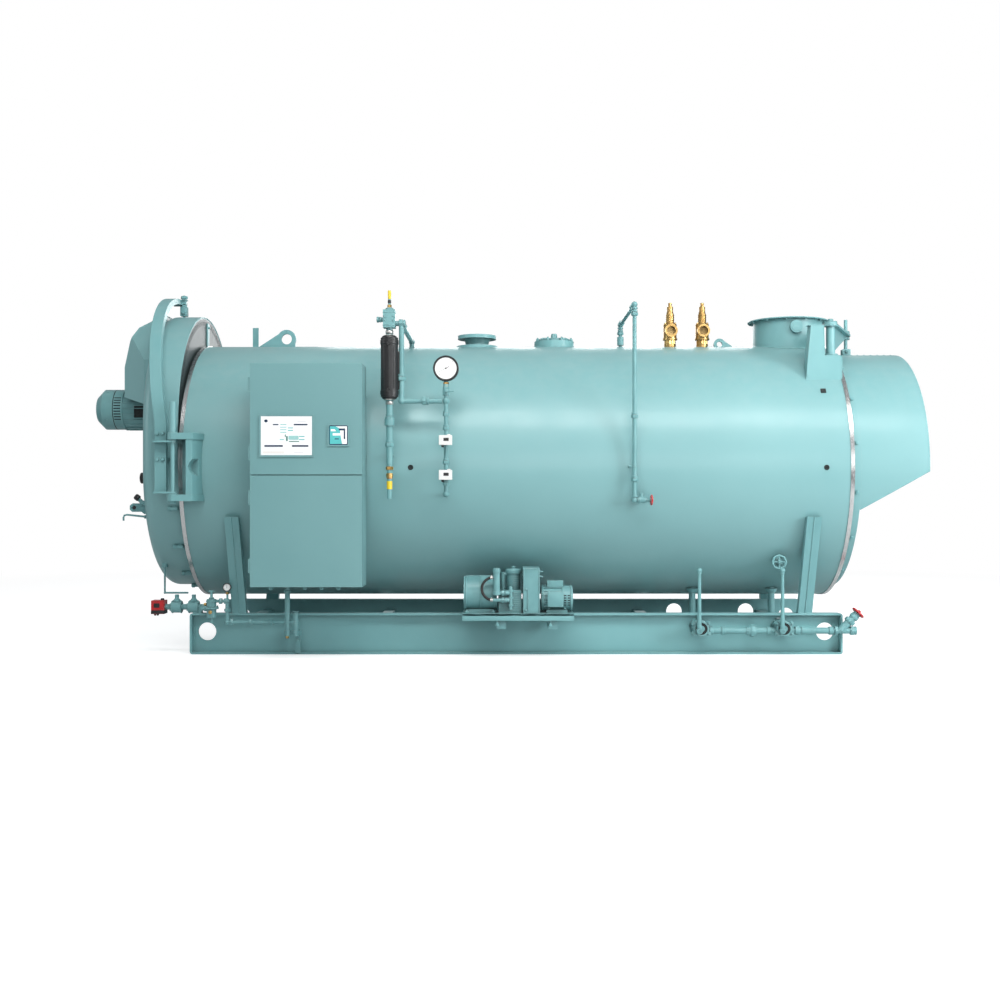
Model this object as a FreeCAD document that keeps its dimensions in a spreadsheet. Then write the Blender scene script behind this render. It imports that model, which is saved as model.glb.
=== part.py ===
import FreeCAD, Part
import math
import os
import re
import Sketcher
from FreeCAD import Placement, Rotation, Vector

# Packaged horizontal firetube boiler on a skid, in millimetres.
# X runs along the shell from the burner end (-X) to the stack end (+X), -Y is the side
# with the control cabinet, and Z = 0 is the underside of the skid, in the middle of the shell.

sizes = {
    "general": {
        "axis_height": 1267,
        "seat_gap": 0.3,
        "paint_plate": 12,
    },
    "shell": {
        "shell_radius": 900,
        "shell_length": 4464,
        "shell_wall": 50,
        "band_width": 26,
        "band_thick": 4,
        "tube_sheet_thick": 25,
        "tube_sheet_inset": 30,
        "furnace_radius": 300,
        "furnace_wall": 14,
        "furnace_drop": 250,
    },
    "skid": {
        "rail_length": 4450,
        "rail_height": 280,
        "rail_web_y": 580,
        "rail_web_thick": 12,
        "rail_lip_y": 635,
        "rail_lip_thick": 14,
        "rail_corner": 20,
        "rail_hole_radius": 61,
        "rail_hole_x": 2117,
        "rail_hole_z": 151,
        "pipe_hole_one_x": 1246,
        "pipe_hole_two_x": 1804,
        "pipe_hole_z": 185,
        "cross_width": 80,
        "cross_height": 200,
        "cross_pitch": 960,
        "leg_width": 95,
        "leg_front_x": -1887,
        "leg_rear_x": 1970,
        "leg_foot_y": 575,
        "leg_foot_depth": 55,
        "leg_top_y": 832,
        "leg_top_z": 940,
    },
    "stack": {
        "stack_x": 1997,
        "stack_radius": 250,
        "stack_wall": 6,
        "stack_top": 1090,
        "stack_rim_radius": 287,
        "stack_rim_thick": 8,
        "stack_port_radius": 43,
        "stack_port_reach": 275,
        "stack_port_height": 1020,
        "stack_bore_low": 910,
        "bore_relief": 3,
    },
    "nozzles": {
        "steam_x": -278,
        "steam_top": 985,
        "steam_flange_radius": 140,
        "steam_flange_thick": 25.4,
        "steam_pipe_radius": 84,
        "steam_bore_radius": 77,
        "steam_bore_low": 905,
        "steam_bolt_circle": 120.65,
        "steam_bolt_radius": 11.1,
        "steam_bolt_count": 8,
        "steam_pad_radius": 150,
        "pad_rise": 8,
        "manway_x": 286,
        "manway_radius": 145,
        "manway_ring_top": 940,
        "manway_cover_radius": 120,
        "manway_cover_top": 952,
        "manway_yoke_width": 40,
        "manway_yoke_top": 972,
        "manway_nut_radius": 20,
        "manway_nut_top": 1001,
    },
    "lugs": {
        "lug_thick": 25,
        "front_lug_x": -1672,
        "front_lug_hole": 38,
        "front_lug_hole_z": 963,
        "front_lug_ring": 68,
        "front_lug_reach": 241,
        "rear_lug_x": 1497,
        "rear_lug_hole": 20,
        "rear_lug_hole_z": 925,
        "rear_lug_ring": 42,
        "rear_lug_reach": 138,
    },
    "valves": {
        "safety_one_x": 1136,
        "safety_two_x": 1371,
        "coupling_radius": 43,
        "coupling_top": 925,
        "safety_hex_radius": 41,
        "safety_body_radius": 48,
        "safety_body_low": 955,
        "safety_body_high": 1066,
        "safety_outlet_z": 1018,
        "safety_outlet_radius": 43,
        "safety_outlet_bore": 32,
        "safety_outlet_reach": 78,
        "safety_spring_radius": 29,
        "safety_spring_top": 1145,
        "safety_neck_radius": 22,
        "safety_top": 1228,
        "safety_cap_radius": 13,
    },
    "pressure_pipe": {
        "pressure_x": 772,
        "pressure_radius": 13.4,
        "pressure_fitting": 20,
        "pressure_top": 1067,
        "pressure_y": -950,
        "pressure_low": -215,
        "pressure_wheel_reach": 135,
        "pressure_wheel_radius": 32,
    },
    "cabinet": {
        "cabinet_left": -1709,
        "cabinet_right": -993,
        "cabinet_front": -1150,
        "cabinet_back": -905,
        "cabinet_low": 495,
        "cabinet_high": 1927,
        "cabinet_split": 1212,
        "cabinet_door_thick": 22,
        "cabinet_door_gap": 6,
        "cabinet_wall": 3,
        "cabinet_bracket": 60,
        "hinge_barrel": 7,
        "hinge_barrel_length": 90,
        "hinge_leaf": 3,
        "screen_left": -1651,
        "screen_right": -1299,
        "screen_low": 1326,
        "screen_high": 1600,
        "bezel_proud": 7,
        "bezel_rim": 9,
        "bezel_recess": 3,
        "tile_left": -1212,
        "tile_right": -1073,
        "tile_low": 1395,
        "tile_high": 1538,
    },
    "water_column": {
        "column_x": -830,
        "column_y": -1000,
        "column_radius": 21,
        "column_low": 19,
        "sensor_radius": 57,
        "sensor_low": 456,
        "sensor_high": 840,
        "head_low": 905,
        "head_high": 1022,
        "head_width": 79,
        "probe_radius": 9,
        "probe_top": 1150,
        "blow_radius": 17,
        "blow_low": -206,
        "tee_x": -752,
        "level_pipe_radius": 17,
        "level_tie_z": 430,
    },
    "gauge": {
        "gauge_x": -462,
        "gauge_y": -1000,
        "gauge_z": 641,
        "gauge_radius": 82,
        "gauge_depth": 48,
        "gauge_pipe_radius": 13.4,
        "gauge_low": -176,
        "switch_upper_z": 172,
        "switch_lower_z": -53,
        "switch_width": 82,
        "switch_height": 60,
        "switch_depth": 60,
    },
    "compressor": {
        "base_left": -359,
        "base_right": 377,
        "base_low": 290,
        "base_high": 304,
        "base_near_y": -930,
        "base_far_y": -640,
        "base_leg_width": 60,
        "base_leg_one_x": -130,
        "base_leg_two_x": 210,
        "base_leg_low": 200,
        "unit_y": -790,
        "tank_radius": 112,
        "tank_left": -350,
        "tank_right": -130,
        "tank_z": 432,
        "pump_left": -118,
        "pump_right": 30,
        "pump_height": 150,
        "pump_depth": 170,
        "filter_radius": 45,
        "filter_x": -20,
        "filter_low": 460,
        "filter_high": 590,
        "guard_left": 42,
        "guard_right": 152,
        "guard_depth": 220,
        "guard_high": 602,
        "motor_left": 164,
        "motor_right": 372,
        "motor_radius": 84,
        "motor_z": 396,
        "terminal_width": 107,
        "terminal_height": 42,
        "hose_radius": 9,
        "hose_bend": 74,
        "hose_x": -155,
        "hose_y": -928,
        "hose_z": 468,
        "separator_radius": 22,
        "separator_low": 428,
        "separator_high": 604,
        "separator_link_z": 440,
        "link_radius": 12,
        "link_x": -60,
    },
    "blowdown": {
        "blow_y": -700,
        "blow_pipe_radius": 21,
        "blow_z": 169,
        "blow_end_x": 2296,
        "blow_bore": 15,
        "valve_radius": 52,
        "valve_depth": 84,
        "drop_radius": 24,
        "drop_y": -330,
        "union_x": 1594,
        "union_radius": 34,
        "lever_back": 18,
        "lever_y": -762,
        "lever_z": 173,
        "lever_length": 405,
        "lever_radius": 12,
        "lever_ball": 18,
        "lever_pin": 9,
        "wye_x": 2190,
        "wye_reach": 160,
        "wye_radius": 26,
        "wye_stem_radius": 7,
        "wye_wheel_radius": 40,
        "wye_wheel_wire": 7,
        "drain_x": 1770,
        "drain_z": -633,
        "drain_y": -735,
        "drain_wheel_radius": 44,
    },
    "gas": {
        "gas_y": -608,
        "gas_z": 322,
        "gas_left": -2395,
        "gas_right": -2138,
        "gas_radius": 40,
        "actuator_width": 88,
        "actuator_height": 92,
        "branch_y": -740,
        "regulator_x": -2051,
        "regulator_radius": 32,
        "regulator_low": 262,
        "regulator_high": 385,
        "gas_pipe_radius": 13.4,
        "gas_dial_x": -1944,
        "gas_dial_z": 466,
        "gas_dial_radius": 27,
        "branch_z": 392,
        "gas_run_z": 231,
        "gas_riser_x": -1540,
        "gas_riser_high": 446,
        "gas_second_x": -1486,
        "gas_second_low": 138,
        "gas_second_high": 298,
        "gas_strap_width": 36,
        "pilot_z": -857,
        "pilot_y": -500,
        "pilot_radius": 6.5,
        "pilot_union_x": -2262,
        "pilot_riser_x": -2430,
        "pilot_socket_z": -671,
    },
    "front_head": {
        "head_radius": 830,
        "plenum_rise": 285,
        "head_rear_x": -2238,
        "plenum_rear_x": -2256,
        "head_front_x": -2505,
        "head_knuckle": 75,
        "lining_depth": 170,
        "throat_radius": 190,
        "throat_reach": 90,
        "screen_thick": 3,
        "inlet_post_width": 44,
        "hood_half": 400,
        "hood_front_x": -2785,
        "hood_low_front": 517,
        "hood_low_back": 425,
        "hood_high": 1100,
        "blower_z": 446,
        "blower_radius": 146,
        "blower_end_x": -3040,
        "blower_cowl": 131,
        "blower_chamfer": 51,
    },
    "strap": {
        "strap_outer": 958,
        "strap_thick": 38,
        "strap_arc_z": 290,
        "strap_foot_z": -170,
        "strap_width": 75,
        "strap_foot_x": -2335,
        "strap_crest_x": -2475,
        "hanger_x": -2424,
        "hanger_radius": 9,
        "hanger_top": 1282,
        "pin_x": -2243,
        "pin_y": -1000,
        "pin_radius": 13.5,
        "pin_clear": 0.5,
        "knuckle_radius": 26,
        "knuckle_plate": 12,
        "knuckle_half": 172,
        "hinge_half": 222,
        "hinge_plate": 42,
        "hinge_right_x": -2058,
        "hinge_near_y": -1040,
        "hinge_hole": 57,
        "post_radius": 22,
        "post_top": 423,
    },
    "rear": {
        "rear_door_x": 2238,
        "rear_radius": 840,
        "rear_door_thick": 56,
        "rear_end_x": 2750,
        "hood_cut_low": -280,
        "hood_cut_high": -20,
        "davit_x": 2146,
        "davit_y": -620,
        "davit_depth": 100,
        "davit_post_radius": 30,
        "davit_low": 595,
        "davit_left": 1968,
        "davit_right": 2210,
        "davit_step_z": 765,
        "davit_step_x": 2093,
        "davit_high": 972,
        "davit_cap_thick": 4,
        "arm_low": 982,
        "arm_thick": 14,
        "arm_width": 70,
        "arm_web_thick": 12,
        "arm_web_low": 790,
        "arm_eye_radius": 45,
        "arm_pin_radius": 15,
        "rod_x": 2423,
        "rod_radius": 13,
        "rod_top": 1104,
        "rod_nut_radius": 24,
        "rod_eye_radius": 34,
    },
}

document = FreeCAD.newDocument("boiler")
sheet = document.addObject("Spreadsheet::Sheet", "dims")
values = {}
row = 0
for group in sizes.values():
    for alias, value in group.items():
        row += 1
        sheet.set("A" + str(row), alias)
        sheet.set("B" + str(row), str(value))
        sheet.setAlias("B" + str(row), alias)
        values[alias] = value
document.recompute()

# Turns that bring a piece drawn along +Z to another direction.
TURNS = {
    "Z": Rotation(),
    "-Z": Rotation(Vector(1, 0, 0), 180),
    "X": Rotation(Vector(0, 1, 0), 90),
    "-X": Rotation(Vector(0, 1, 0), -90),
    "Y": Rotation(Vector(1, 0, 0), -90),
    "-Y": Rotation(Vector(1, 0, 0), 90),
}
SHELL_HALF = "shell_length / 2"


def tied(expression):
    """Put the sheet's name before each alias of an expression."""
    return re.sub(r"[a-z][a-z_]+", lambda word: "dims." + word.group() if word.group() in values
                  else word.group(), str(expression))


def number(expression):
    """The value of an expression, worked out in a spare cell of the sheet."""
    sheet.set("D1", "=" + str(expression))
    sheet.recompute()
    return float(sheet.get("D1"))


def up(height):
    """A height above ground from a height above the shell's axis."""
    return "axis_height + (" + str(height) + ")"


def put(piece, at, turn="Z"):
    """Place a piece at three expressions, turned from +Z to a named direction or by a Rotation."""
    piece.Placement = Placement(Vector(), TURNS[turn] if isinstance(turn, str) else turn)
    for letter, position in zip("xyz", at):
        piece.setExpression("Placement.Base." + letter, tied(position))
    return piece


def sized(kind, title, **lengths):
    piece = document.addObject(kind, title)
    for name, length in lengths.items():
        piece.setExpression(name, tied(length))
    return piece


def rod(radius, length, at, turn="Z"):
    return put(sized("Part::Cylinder", "rod", Radius=radius, Height=length), at, turn)


def cone(start, end, length, at, turn="Z"):
    return put(sized("Part::Cone", "cone", Radius1=start, Radius2=end, Height=length), at, turn)


def ball(radius, at):
    return put(sized("Part::Sphere", "ball", Radius=radius), at)


def block(size, at):
    """A box from its lowest corner."""
    return put(sized("Part::Box", "block", Length=size[0], Width=size[1], Height=size[2]), at)


def wheel(ring, wire, at, turn="Z"):
    return put(sized("Part::Torus", "wheel", Radius1=ring, Radius2=wire), at, turn)


def fused(*pieces):
    joined = document.addObject("Part::MultiFuse", "joined")
    joined.Shapes = list(pieces)
    joined.Refine = True
    return joined


def cut(base, *tools):
    for tool in tools:
        trimmed = document.addObject("Part::Cut", "trimmed")
        trimmed.Base = base
        trimmed.Tool = tool
        trimmed.Refine = True
        base = trimmed
    return base


def common(base, tool):
    shared = document.addObject("Part::Common", "shared")
    shared.Base = base
    shared.Tool = tool
    return shared


def apart(*pieces):
    """Like pieces of one sub-part that don't touch."""
    group = document.addObject("Part::Compound", "group")
    group.Links = list(pieces)
    return group


def sketched(body, plane, outline):
    """A closed outline of straight lines whose corners are bound to the sheet."""
    sketch = body.newObject("Sketcher::SketchObject", "outline")
    origin = next(item for item in body.Origin.OriginFeatures if item.Role == plane + "_Plane")
    sketch.AttachmentSupport = [(origin, "")]
    sketch.MapMode = "FlatFace"
    count = len(outline)
    # Corners start spread on a circle, and the bound distances move them to their places.
    start = [Vector(math.cos(2 * math.pi * k / count), math.sin(2 * math.pi * k / count), 0)
             for k in range(count)]
    for index in range(count):
        sketch.addGeometry(Part.LineSegment(start[index], start[(index + 1) % count]), False)
    for index in range(count):
        sketch.addConstraint(Sketcher.Constraint("Coincident", index, 2, (index + 1) % count, 1))
    for index, corner in enumerate(outline):
        for way, letter, position in zip(("DistanceX", "DistanceY"), "uv", corner):
            value = position if isinstance(position, (int, float)) else 1.0
            name = letter + "_" + chr(97 + index)
            number = sketch.addConstraint(Sketcher.Constraint(way, -1, 1, index, 1, value))
            sketch.renameConstraint(number, name)
            sketch.setExpression("Constraints." + name, tied(position))
    return sketch


def plate(plane, outline, thickness, at=(0, 0, 0), turn="Z"):
    """An outline padded evenly to both sides of its plane."""
    body = document.addObject("PartDesign::Body", "plate")
    sketch = sketched(body, plane, outline)
    pad = body.newObject("PartDesign::Pad", "pad")
    pad.Profile = sketch
    pad.Midplane = True
    pad.setExpression("Length", tied(thickness))
    return put(body, at, turn)


def turned(outline, at, turn="Z"):
    """An outline of radius and height turned once round its own axis."""
    body = document.addObject("PartDesign::Body", "turned")
    sketch = sketched(body, "XZ", outline)
    revolution = body.newObject("PartDesign::Revolution", "revolution")
    revolution.Profile = sketch
    revolution.ReferenceAxis = (sketch, ["V_Axis"])
    revolution.Angle = 360
    return put(body, at, turn)


def pipe(radius, fitting, points):
    """Straight pipe between points, along one axis each time, with an elbow at each turn."""
    pieces = []
    for start, end in zip(points, points[1:]):
        letter = next(index for index in range(3) if start[index] != end[index])
        length = "abs((" + str(end[letter]) + ") - (" + str(start[letter]) + "))"
        forward = number(end[letter]) > number(start[letter])
        pieces.append(rod(radius, length, start, ("" if forward else "-") + "XYZ"[letter]))
    pieces += [ball(fitting, point) for point in points[1:-1]]
    return pieces


def node(name, piece):
    piece.Label = name
    nodes.append(piece)


nodes = []


# Shell, its end bands, tube sheets and furnace.
def shell_core(radius):
    """A solid cylinder round the shell's axis, longer than the shell, to cut seats with."""
    return rod(radius, "shell_length", ("-" + SHELL_HALF, 0, "axis_height"), "X")


def outside_shell(piece):
    """Cut a piece to sit just off the shell's curved side."""
    return cut(piece, shell_core("shell_radius + seat_gap"))


def outside_bands(piece):
    """Cut a piece to sit just off the shell's side and off the bands at its ends."""
    radius = "shell_radius + band_thick + 2 * seat_gap"
    reach = "band_width + seat_gap"
    front = rod(radius, reach, ("-" + SHELL_HALF, 0, "axis_height"), "X")
    rear = rod(radius, reach, (SHELL_HALF, 0, "axis_height"), "-X")
    return cut(outside_shell(piece), front, rear)


def ring(outer, inner, length, at, turn="Z"):
    return cut(rod(outer, length, at, turn), rod(inner, length, at, turn))


shell_start = ("-" + SHELL_HALF, 0, "axis_height")
node("shell_jacket", ring("shell_radius", "shell_radius - shell_wall", "shell_length", shell_start, "X"))

front_band = ring("shell_radius + seat_gap + band_thick", "shell_radius + seat_gap", "band_width",
                  shell_start, "X")
rear_band = ring("shell_radius + seat_gap + band_thick", "shell_radius + seat_gap", "band_width",
                 (SHELL_HALF + " - band_width", 0, "axis_height"), "X")
node("end_bands", apart(front_band, rear_band))


def tube_sheet(name, at, turn):
    """A round plate inside the shell with the furnace mouth cut through it."""
    disc = rod("shell_radius - shell_wall - seat_gap", "tube_sheet_thick", at, turn)
    mouth_at = (at[0], 0, up("-furnace_drop"))
    node(name, cut(disc, rod("furnace_radius + seat_gap", "tube_sheet_thick", mouth_at, turn)))


tube_sheet("front_tube_sheet", ("-" + SHELL_HALF + " + tube_sheet_inset", 0, "axis_height"), "X")
rear_sheet_x = SHELL_HALF + " - tube_sheet_inset - tube_sheet_thick"
tube_sheet("rear_tube_sheet", (rear_sheet_x, 0, "axis_height"), "X")
node("furnace_tube", ring("furnace_radius", "furnace_radius - furnace_wall",
                          "shell_length - 2 * tube_sheet_inset",
                          ("-" + SHELL_HALF + " + tube_sheet_inset", 0, up("-furnace_drop")), "X"))


# Skid: two rails with lips all round, cross members and four leaning legs.
def rail(name, side):
    """One rail, its web inside and its lips turned outwards. The side is -1 near and 1 far."""
    depth = "(rail_lip_y - rail_web_y + rail_web_thick)"
    middle = str(side) + " * (rail_lip_y + rail_web_y - rail_web_thick) / 2"
    half = "rail_length / 2"
    outline = [("-" + half, 0), (half, 0), (half, "rail_height"), ("-" + half, "rail_height")]
    body = plate("XZ", outline, depth, (0, middle, 0))
    document.recompute()
    slab = body.Tip
    corners = ["Edge" + str(index + 1) for index, edge in enumerate(slab.Shape.Edges)
               if abs(edge.tangentAt(edge.FirstParameter).y) > 0.99]
    rounded = body.newObject("PartDesign::Fillet", "rounded")
    rounded.Base = (slab, corners)
    rounded.setExpression("Radius", tied("rail_corner"))
    body.Tip = rounded
    lip = "rail_lip_thick"
    start_y = "rail_web_y" if side > 0 else "-rail_lip_y"
    hollow = block(("rail_length - 2 * " + lip, "rail_lip_y - rail_web_y", "rail_height - 2 * " + lip),
                   ("-" + half + " + " + lip, start_y, lip))
    holes = []
    web_y = "rail_web_y - rail_web_thick" if side > 0 else "-rail_web_y"
    spots = [("-rail_hole_x", "rail_hole_z"), ("rail_hole_x", "rail_hole_z"),
             ("pipe_hole_one_x", "pipe_hole_z"), ("pipe_hole_two_x", "pipe_hole_z")]
    for hole_x, hole_z in spots:
        holes.append(rod("rail_hole_radius", "rail_web_thick", (hole_x, web_y, hole_z), "Y"))
    node(name, cut(body, hollow, *holes))


rail("skid_rail_near", -1)
rail("skid_rail_far", 1)

members = []
for index in (-2, -1, 0, 1, 2):
    members.append(block(("cross_width", "2 * (rail_web_y - rail_web_thick)", "cross_height"),
                         (str(index) + " * cross_pitch - cross_width / 2",
                          "rail_web_thick - rail_web_y", 0)))
node("skid_cross_members", apart(*members))


def legs(name, middle_x):
    """The near and far legs at one end, leaning outwards from the rails to the shell."""
    pair = []
    for side in (-1, 1):
        foot = str(side) + " * leg_foot_y"
        foot_out = str(side) + " * (leg_foot_y + leg_foot_depth)"
        top = str(side) + " * leg_top_y"
        top_out = str(side) + " * (leg_top_y + leg_foot_depth)"
        outline = [(foot, "rail_height"), (foot_out, "rail_height"), (top_out, "leg_top_z"),
                   (top, "leg_top_z")]
        pair.append(outside_shell(plate("YZ", outline, "leg_width", (middle_x, 0, 0))))
    node(name, apart(*pair))


legs("front_legs", "leg_front_x")
legs("rear_legs", "leg_rear_x")


# Stack outlet with its thin rim and a capped round port.
def relieved_bore(radius, middle_x, low, step, top):
    """A bore down to a step just above the shell, and a slightly wider relief below it."""
    bore = rod(radius, "(" + top + ") - (" + step + ")", (middle_x, 0, up(step)))
    relief = rod(radius + " + bore_relief", up(step) + " - (" + low + ")", (middle_x, 0, low))
    return fused(bore, relief)


def stack_outlet():
    low = up("shell_radius - 45")
    barrel = rod("stack_radius", "stack_top - shell_radius + 45", ("stack_x", 0, low))
    rim = rod("stack_rim_radius", "stack_rim_thick", ("stack_x", 0, up("stack_top - stack_rim_thick")))
    port = rod("stack_port_radius", "stack_port_reach", ("stack_x", 0, up("stack_port_height")), "-Y")
    bore = relieved_bore("stack_radius - stack_wall", "stack_x", low, "stack_bore_low", "stack_top")
    node("stack_outlet", outside_bands(cut(fused(barrel, rim, port), bore)))


stack_outlet()


# Steam nozzle, manway and lifting lugs on top of the shell.
def steam_nozzle():
    low = up("shell_radius - 20")
    pad = rod("steam_pad_radius", "20 + pad_rise", ("steam_x", 0, low))
    neck = rod("steam_pipe_radius", "steam_top - shell_radius + 20", ("steam_x", 0, low))
    flange = rod("steam_flange_radius", "steam_flange_thick",
                 ("steam_x", 0, up("steam_top - steam_flange_thick")))
    holes = []
    for index in range(values["steam_bolt_count"]):
        angle = str((index + 0.5) * 360 / values["steam_bolt_count"]) + " deg"
        at = ("steam_x + steam_bolt_circle * cos(" + angle + ")",
              "steam_bolt_circle * sin(" + angle + ")", up("steam_top - steam_flange_thick"))
        holes.append(rod("steam_bolt_radius", "steam_flange_thick", at))
    bore = relieved_bore("steam_bore_radius", "steam_x", low, "steam_bore_low", "steam_top")
    node("steam_nozzle", outside_shell(cut(fused(pad, neck, flange), bore, *holes)))


steam_nozzle()


def manway():
    ring_body = rod("manway_radius", "manway_ring_top - shell_radius + 20",
                    ("manway_x", 0, up("shell_radius - 20")))
    cover = rod("manway_cover_radius", "manway_cover_top - manway_ring_top + 2",
                ("manway_x", 0, up("manway_ring_top - 2")))
    half = "manway_radius"
    low = up("manway_ring_top")
    outline = [("-" + half, low), (half, low), (half + " - 25", up("manway_yoke_top - 14")),
               (half + " - 60", up("manway_yoke_top")), ("60 - " + half, up("manway_yoke_top")),
               ("25 - " + half, up("manway_yoke_top - 14"))]
    yoke = plate("XZ", outline, "manway_yoke_width", ("manway_x", 0, 0))
    nut = rod("manway_nut_radius", "manway_nut_top - manway_yoke_top + 4",
              ("manway_x", 0, up("manway_yoke_top - 4")))
    node("manway", outside_shell(fused(ring_body, cover, yoke, nut)))


manway()


def lifting_lug(which, side):
    """An eye plate along the shell, its long slope on the given side."""
    middle_x, hole_z, eye_radius = which + "_lug_x", which + "_lug_hole_z", which + "_lug_ring"
    eye = rod(eye_radius, "lug_thick", (middle_x, "-lug_thick / 2", up(hole_z)), "Y")
    low = up("shell_radius - 20")
    outline = [(str(side) + " * " + which + "_lug_reach", low),
               (str(side) + " * " + eye_radius + " * 0.45", up(hole_z + " + " + eye_radius + " * 0.8")),
               (str(-side) + " * " + eye_radius + " * 0.9", up(hole_z)),
               (str(-side) + " * " + eye_radius + " * 0.95", low)]
    web = plate("XZ", outline, "lug_thick", (middle_x, 0, 0))
    hole = rod(which + "_lug_hole", "lug_thick", (middle_x, "-lug_thick / 2", up(hole_z)), "Y")
    return outside_shell(cut(fused(eye, web), hole))


node("lifting_lugs", apart(lifting_lug("front", -1), lifting_lug("rear", 1)))


# Safety valves: coupling, hexes, body with a side outlet, spring bonnet and cap.
def safety_valve(name, middle_x):
    def stage(radius, low, high):
        return rod(radius, "(" + high + ") - (" + low + ")", (middle_x, 0, up(low)))

    coupling = stage("coupling_radius", "shell_radius - 5", "coupling_top")
    inlet = stage("safety_hex_radius", "coupling_top", "safety_body_low")
    body = stage("safety_body_radius", "safety_body_low", "safety_body_high")
    bonnet = stage("safety_spring_radius", "safety_body_high", "safety_spring_top")
    neck = stage("safety_neck_radius", "safety_spring_top", "safety_top - 28")
    cap = stage("safety_cap_radius", "safety_top - 28", "safety_top")
    outlet = rod("safety_outlet_radius", "safety_outlet_reach", (middle_x, 0, up("safety_outlet_z")), "-Y")
    bore = rod("safety_outlet_bore", "safety_outlet_reach - 30",
               (middle_x, "-safety_outlet_reach", up("safety_outlet_z")), "Y")
    whole = fused(coupling, inlet, body, bonnet, neck, cap, outlet)
    node(name, outside_shell(cut(whole, bore)))


safety_valve("safety_valve_front", "safety_one_x")
safety_valve("safety_valve_rear", "safety_two_x")


# Pressure line: up from the top of the shell, out to the side and down to a valve.
def pressure_line():
    x = "pressure_x"
    route = [(x, 0, up("shell_radius + seat_gap")), (x, 0, up("pressure_top")),
             (x, "pressure_y", up("pressure_top")), (x, "pressure_y", up("pressure_low")),
             (x + " + pressure_wheel_reach - 30", "pressure_y", up("pressure_low"))]
    pieces = pipe("pressure_radius", "pressure_fitting", route)
    pieces.append(rod("pressure_fitting + 4", 60, (x, 0, up("shell_radius + 18"))))
    pieces.append(rod("pressure_fitting", 46, (x + " + 24", "pressure_y", up("pressure_low")), "X"))
    pieces.append(rod("pressure_wheel_radius", 12,
                      (x + " + pressure_wheel_reach - 30", "pressure_y", up("pressure_low")), "X"))
    pieces.append(rod("pressure_radius", "abs(pressure_y) - 860",
                      (x, "pressure_y", up("pressure_low")), "Y"))
    node("pressure_line", outside_shell(fused(*pieces)))


pressure_line()


# Control cabinet: a box on brackets with an upper and a lower door.
def cabinet():
    wide = "cabinet_right - cabinet_left"
    deep = "cabinet_back - cabinet_front - cabinet_door_thick - cabinet_door_gap"
    front = "cabinet_front + cabinet_door_thick + cabinet_door_gap"
    shell = block((wide, deep, "cabinet_high - cabinet_low"), ("cabinet_left", front, "cabinet_low"))
    hollow = block((wide + " - 2 * cabinet_wall", deep + " - cabinet_wall",
                    "cabinet_high - cabinet_low - 2 * cabinet_wall"),
                   ("cabinet_left + cabinet_wall", front, "cabinet_low + cabinet_wall"))
    brackets = []
    for side_x in ("cabinet_left + 60", "cabinet_right - 60 - cabinet_bracket"):
        for level in ("cabinet_low + 120", "cabinet_high - 180"):
            brackets.append(block(("cabinet_bracket", "abs(cabinet_back) - 400", 60),
                                  (side_x, "cabinet_back", level)))
    axis_x = "cabinet_left - hinge_barrel - seat_gap"
    axis_y = "cabinet_front + hinge_barrel"
    for level in ("cabinet_low + 90", "cabinet_split - 190", "cabinet_split + 100", "cabinet_high - 180"):
        brackets.append(rod("hinge_barrel", "hinge_barrel_length", (axis_x, axis_y, level)))
        leaf_x = "cabinet_left - hinge_leaf - seat_gap"
        brackets.append(block(("hinge_leaf", "cabinet_door_thick + cabinet_door_gap", "hinge_barrel_length"),
                              (leaf_x, axis_y, level)))
        brackets.append(block(("hinge_leaf + seat_gap", 30, "hinge_barrel_length"),
                              (leaf_x, "cabinet_front + cabinet_door_thick + cabinet_door_gap", level)))
    node("control_cabinet", outside_shell(fused(cut(shell, hollow), *brackets)))


cabinet()


def cabinet_door(low, high):
    return block(("cabinet_right - cabinet_left", "cabinet_door_thick", "(" + high + ") - (" + low + ")"),
                 ("cabinet_left", "cabinet_front", low))


def bezel(left, right, low, high):
    """A frame standing proud of the door, with a shallow recess for its screen."""
    front = "cabinet_front - bezel_proud"
    frame = block((right + " - " + left, "bezel_proud + 1", high + " - " + low), (left, front, low))
    recess = block((right + " - " + left + " - 2 * bezel_rim", "bezel_recess",
                    high + " - " + low + " - 2 * bezel_rim"),
                   (left + " + bezel_rim", front, low + " + bezel_rim"))
    return cut(frame, recess)


half_split = "cabinet_door_gap / 2"
node("cabinet_upper_door", fused(cabinet_door("cabinet_split + " + half_split, "cabinet_high"),
                                 bezel("screen_left", "screen_right", "screen_low", "screen_high"),
                                 bezel("tile_left", "tile_right", "tile_low", "tile_high")))
node("cabinet_lower_door", cabinet_door("cabinet_low", "cabinet_split - " + half_split))


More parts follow.
